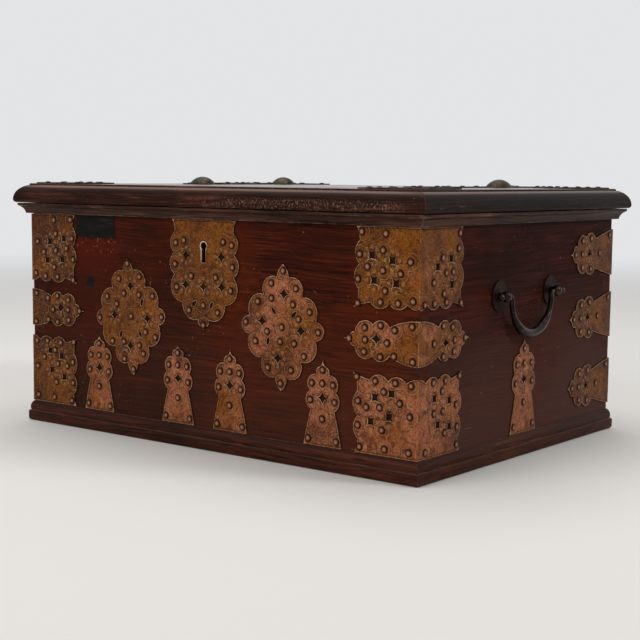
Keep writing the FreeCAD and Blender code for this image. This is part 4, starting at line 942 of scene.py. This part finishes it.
def mountDistances(points, loops):
    # distance to the nearest outline, below nought under a mount
    margin = boardWork["margin"]
    tiny = boardWork["tiny"]
    nearby = numpy.full(len(points), boardWork["far"])
    for loop in loops:
        inBox = numpy.all((points > loop.min(0) - margin) & (points < loop.max(0) + margin), 1)
        chosen = numpy.nonzero(inBox)[0]
        start = loop[None, :, :]
        run = numpy.roll(loop, -1, 0)[None, :, :] - start
        offset = points[chosen][:, None, :] - start
        share = numpy.clip((offset * run).sum(2) / numpy.maximum((run * run).sum(2), tiny), 0, 1)
        gap = numpy.linalg.norm(offset - share[:, :, None] * run, axis=2).min(1)
        # a point is inside where an odd number of the outline's runs lies to its right
        crosses = (offset[:, :, 1] < 0) != (offset[:, :, 1] < run[:, :, 1])
        slope = run[:, :, 0] * offset[:, :, 1] / numpy.where(run[:, :, 1] == 0, tiny, run[:, :, 1])
        inside = (crosses & (offset[:, :, 0] < slope)).sum(1) % 2 == 1
        gap = numpy.where(inside, -gap, gap)
        nearby[chosen] = numpy.where(numpy.abs(gap) < numpy.abs(nearby[chosen]), gap, nearby[chosen])
    return nearby


def board(node, across, upward, side, body, slot, look):
    piece = copyOfNode(node, node + ".aged")
    outward = outwardOf[side]
    level = outermost(piece, outward) - meshCare["faceDepth"] * mm
    for face in piece.data.polygons:        # only the shown face is cut into a grid
        face.hide = face.normal.dot(outward) < meshCare["faceSquare"] or face.center.dot(outward) < level
    for axis in (across, upward):
        cutAcross(piece, axis, boardWork["grid"])
    startEdit(piece)
    bpy.ops.mesh.reveal()
    endEdit()
    places = numpy.array([corner.co for corner in piece.data.vertices]) / mm
    shown = places @ numpy.array(outward) > level / mm
    loops = [numpy.array(loop)[:, [across, upward]] / mm for loop in outlines[side]]
    dirtAndShade = numpy.full(len(places), boardWork["far"])
    dirtAndShade[shown] = mountDistances(places[shown][:, [across, upward]], loops)
    giveValues(piece, "mountDistance", dirtAndShade)
    finish = boardWood(node + "Wood", across, -outward, look)
    finishPiece(piece, finish, body, node, boardWork["smooth"])


def patchOutline():
    # the corners of the upper of the two repairs in the front board
    low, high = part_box("front_repairs")
    start = low.z + (high.z - low.z) * boardWork["patchAbove"]
    patch = [corner.co for corner in nodes["front_repairs"].data.vertices if corner.co.z > start]
    leftEnd, rightEnd = min(point.x for point in patch), max(point.x for point in patch)
    lowEnd, highEnd = min(point.z for point in patch), max(point.z for point in patch)
    corners = ((leftEnd, lowEnd), (rightEnd, lowEnd), (rightEnd, highEnd), (leftEnd, highEnd))
    return [Vector((x, low.y, z)) for x, z in corners]


patchCorners = patchOutline()
outlines["front"].append(patchCorners)
frontLook["patch"] = (patchCorners[0].x, patchCorners[1].x, patchCorners[0].z)
for node, details in boards.items():
    board(node, *details)
print("boards aged")


# studio, in metres

studio = {"floorTone": tone(226, 223, 218), "floorRough": 0.9, "floorReach": 9, "floorSides": 96,
          "backTone": tone(227, 228, 230), "skyTone": (0.97, 0.985, 1, 1), "skyStrength": 0.32,
          "fade": (0.9, 3.2), "lampAim": Vector((0, 0, 0.1))}
lamps = {"overheadLamp": {"place": (-0.4, 0.2, 2.3), "size": 2.0, "power": 30},
         "frontLamp": {"place": (-0.6, -2.4, 1.3), "size": 1.8, "power": 27},
         "rightLamp": {"place": (2.1, 0.7, 1.6), "size": 0.6, "power": 19}}
camera = {"lens": 76.65, "sensor": 36, "place": (0.8362, -1.0723, 0.2499), "yaw": -37.926,
          "pitch": 6.069, "roll": 0.539, "reach": 50}


def buildCamera():
    yaw, pitch, roll = (math.radians(camera[key]) for key in ("yaw", "pitch", "roll"))
    ahead = Vector((math.sin(yaw) * math.cos(pitch), math.cos(yaw) * math.cos(pitch), -math.sin(pitch)))
    level = Vector((math.cos(yaw), -math.sin(yaw), 0))
    upright = level.cross(ahead)
    sideways = level * math.cos(roll) + upright * math.sin(roll)
    upward = upright * math.cos(roll) - level * math.sin(roll)
    turn = Matrix((sideways, upward, -ahead)).transposed().to_4x4()
    bpy.ops.object.camera_add()
    lens = bpy.context.object
    lens.matrix_world = Matrix.Translation(camera["place"]) @ turn
    lens.data.lens = camera["lens"]
    lens.data.sensor_width = camera["sensor"]
    lens.data.clip_end = camera["reach"]
    bpy.context.scene.camera = lens


def seenRays(finish):
    # camera, glossy and transmission rays see the backdrop as it is written
    rays = [finish.node("ShaderNodeLightPath", out=kind + " Ray")
            for kind in ("Is Camera", "Is Glossy", "Is Transmission")]
    return rays[0].maths("MAXIMUM", rays[1]).maths("MAXIMUM", rays[2])


def buildFloor():
    # pale paper that fades into the backdrop far from the box
    finish = newFinish("studioPaper")
    sockets = {"Base Color": studio["floorTone"], "Roughness": studio["floorRough"]}
    paper = finish.node("ShaderNodeBsdfPrincipled", None, sockets)
    glow = finish.node("ShaderNodeEmission", None, {"Color": studio["backTone"], "Strength": 1})
    away = hypotenuse(finish.axis(0), finish.axis(1))
    fade = finish.band(away, *studio["fade"]) * seenRays(finish)
    paperFinish = finish.output(finish.node("ShaderNodeMixShader", None, {0: fade, 1: paper, 2: glow}))
    bpy.ops.object.select_all(action="DESELECT")
    bpy.ops.mesh.primitive_circle_add(vertices=studio["floorSides"], radius=studio["floorReach"],
                                      fill_type="NGON")
    floor = bpy.context.object
    floor.name = "studioFloor"
    floor.data.materials.append(paperFinish)


def softLamp(name, place, size, power):
    bpy.ops.object.light_add(type="AREA", location=place)
    lamp = bpy.context.object
    lamp.name = name
    lamp.data.energy = power
    lamp.data.size = size
    lamp.rotation_euler = (studio["lampAim"] - Vector(place)).to_track_quat("-Z", "Y").to_euler()


def buildWorld():
    world = bpy.data.worlds.new("studioWorld")
    bpy.context.scene.world = world
    finish = Finish(world)
    sockets = {"Color": studio["skyTone"], "Strength": studio["skyStrength"]}
    light = finish.node("ShaderNodeBackground", None, sockets)
    shown = finish.node("ShaderNodeBackground", None, {"Color": studio["backTone"], "Strength": 1})
    shader = finish.node("ShaderNodeMixShader", None, {0: seenRays(finish), 1: light, 2: shown})
    finish.output(shader, "ShaderNodeOutputWorld")


bpy.context.scene.view_settings.view_transform = "Standard"
buildCamera()
buildFloor()
for name, details in lamps.items():
    softLamp(name, **details)
buildWorld()
print("studio lit")
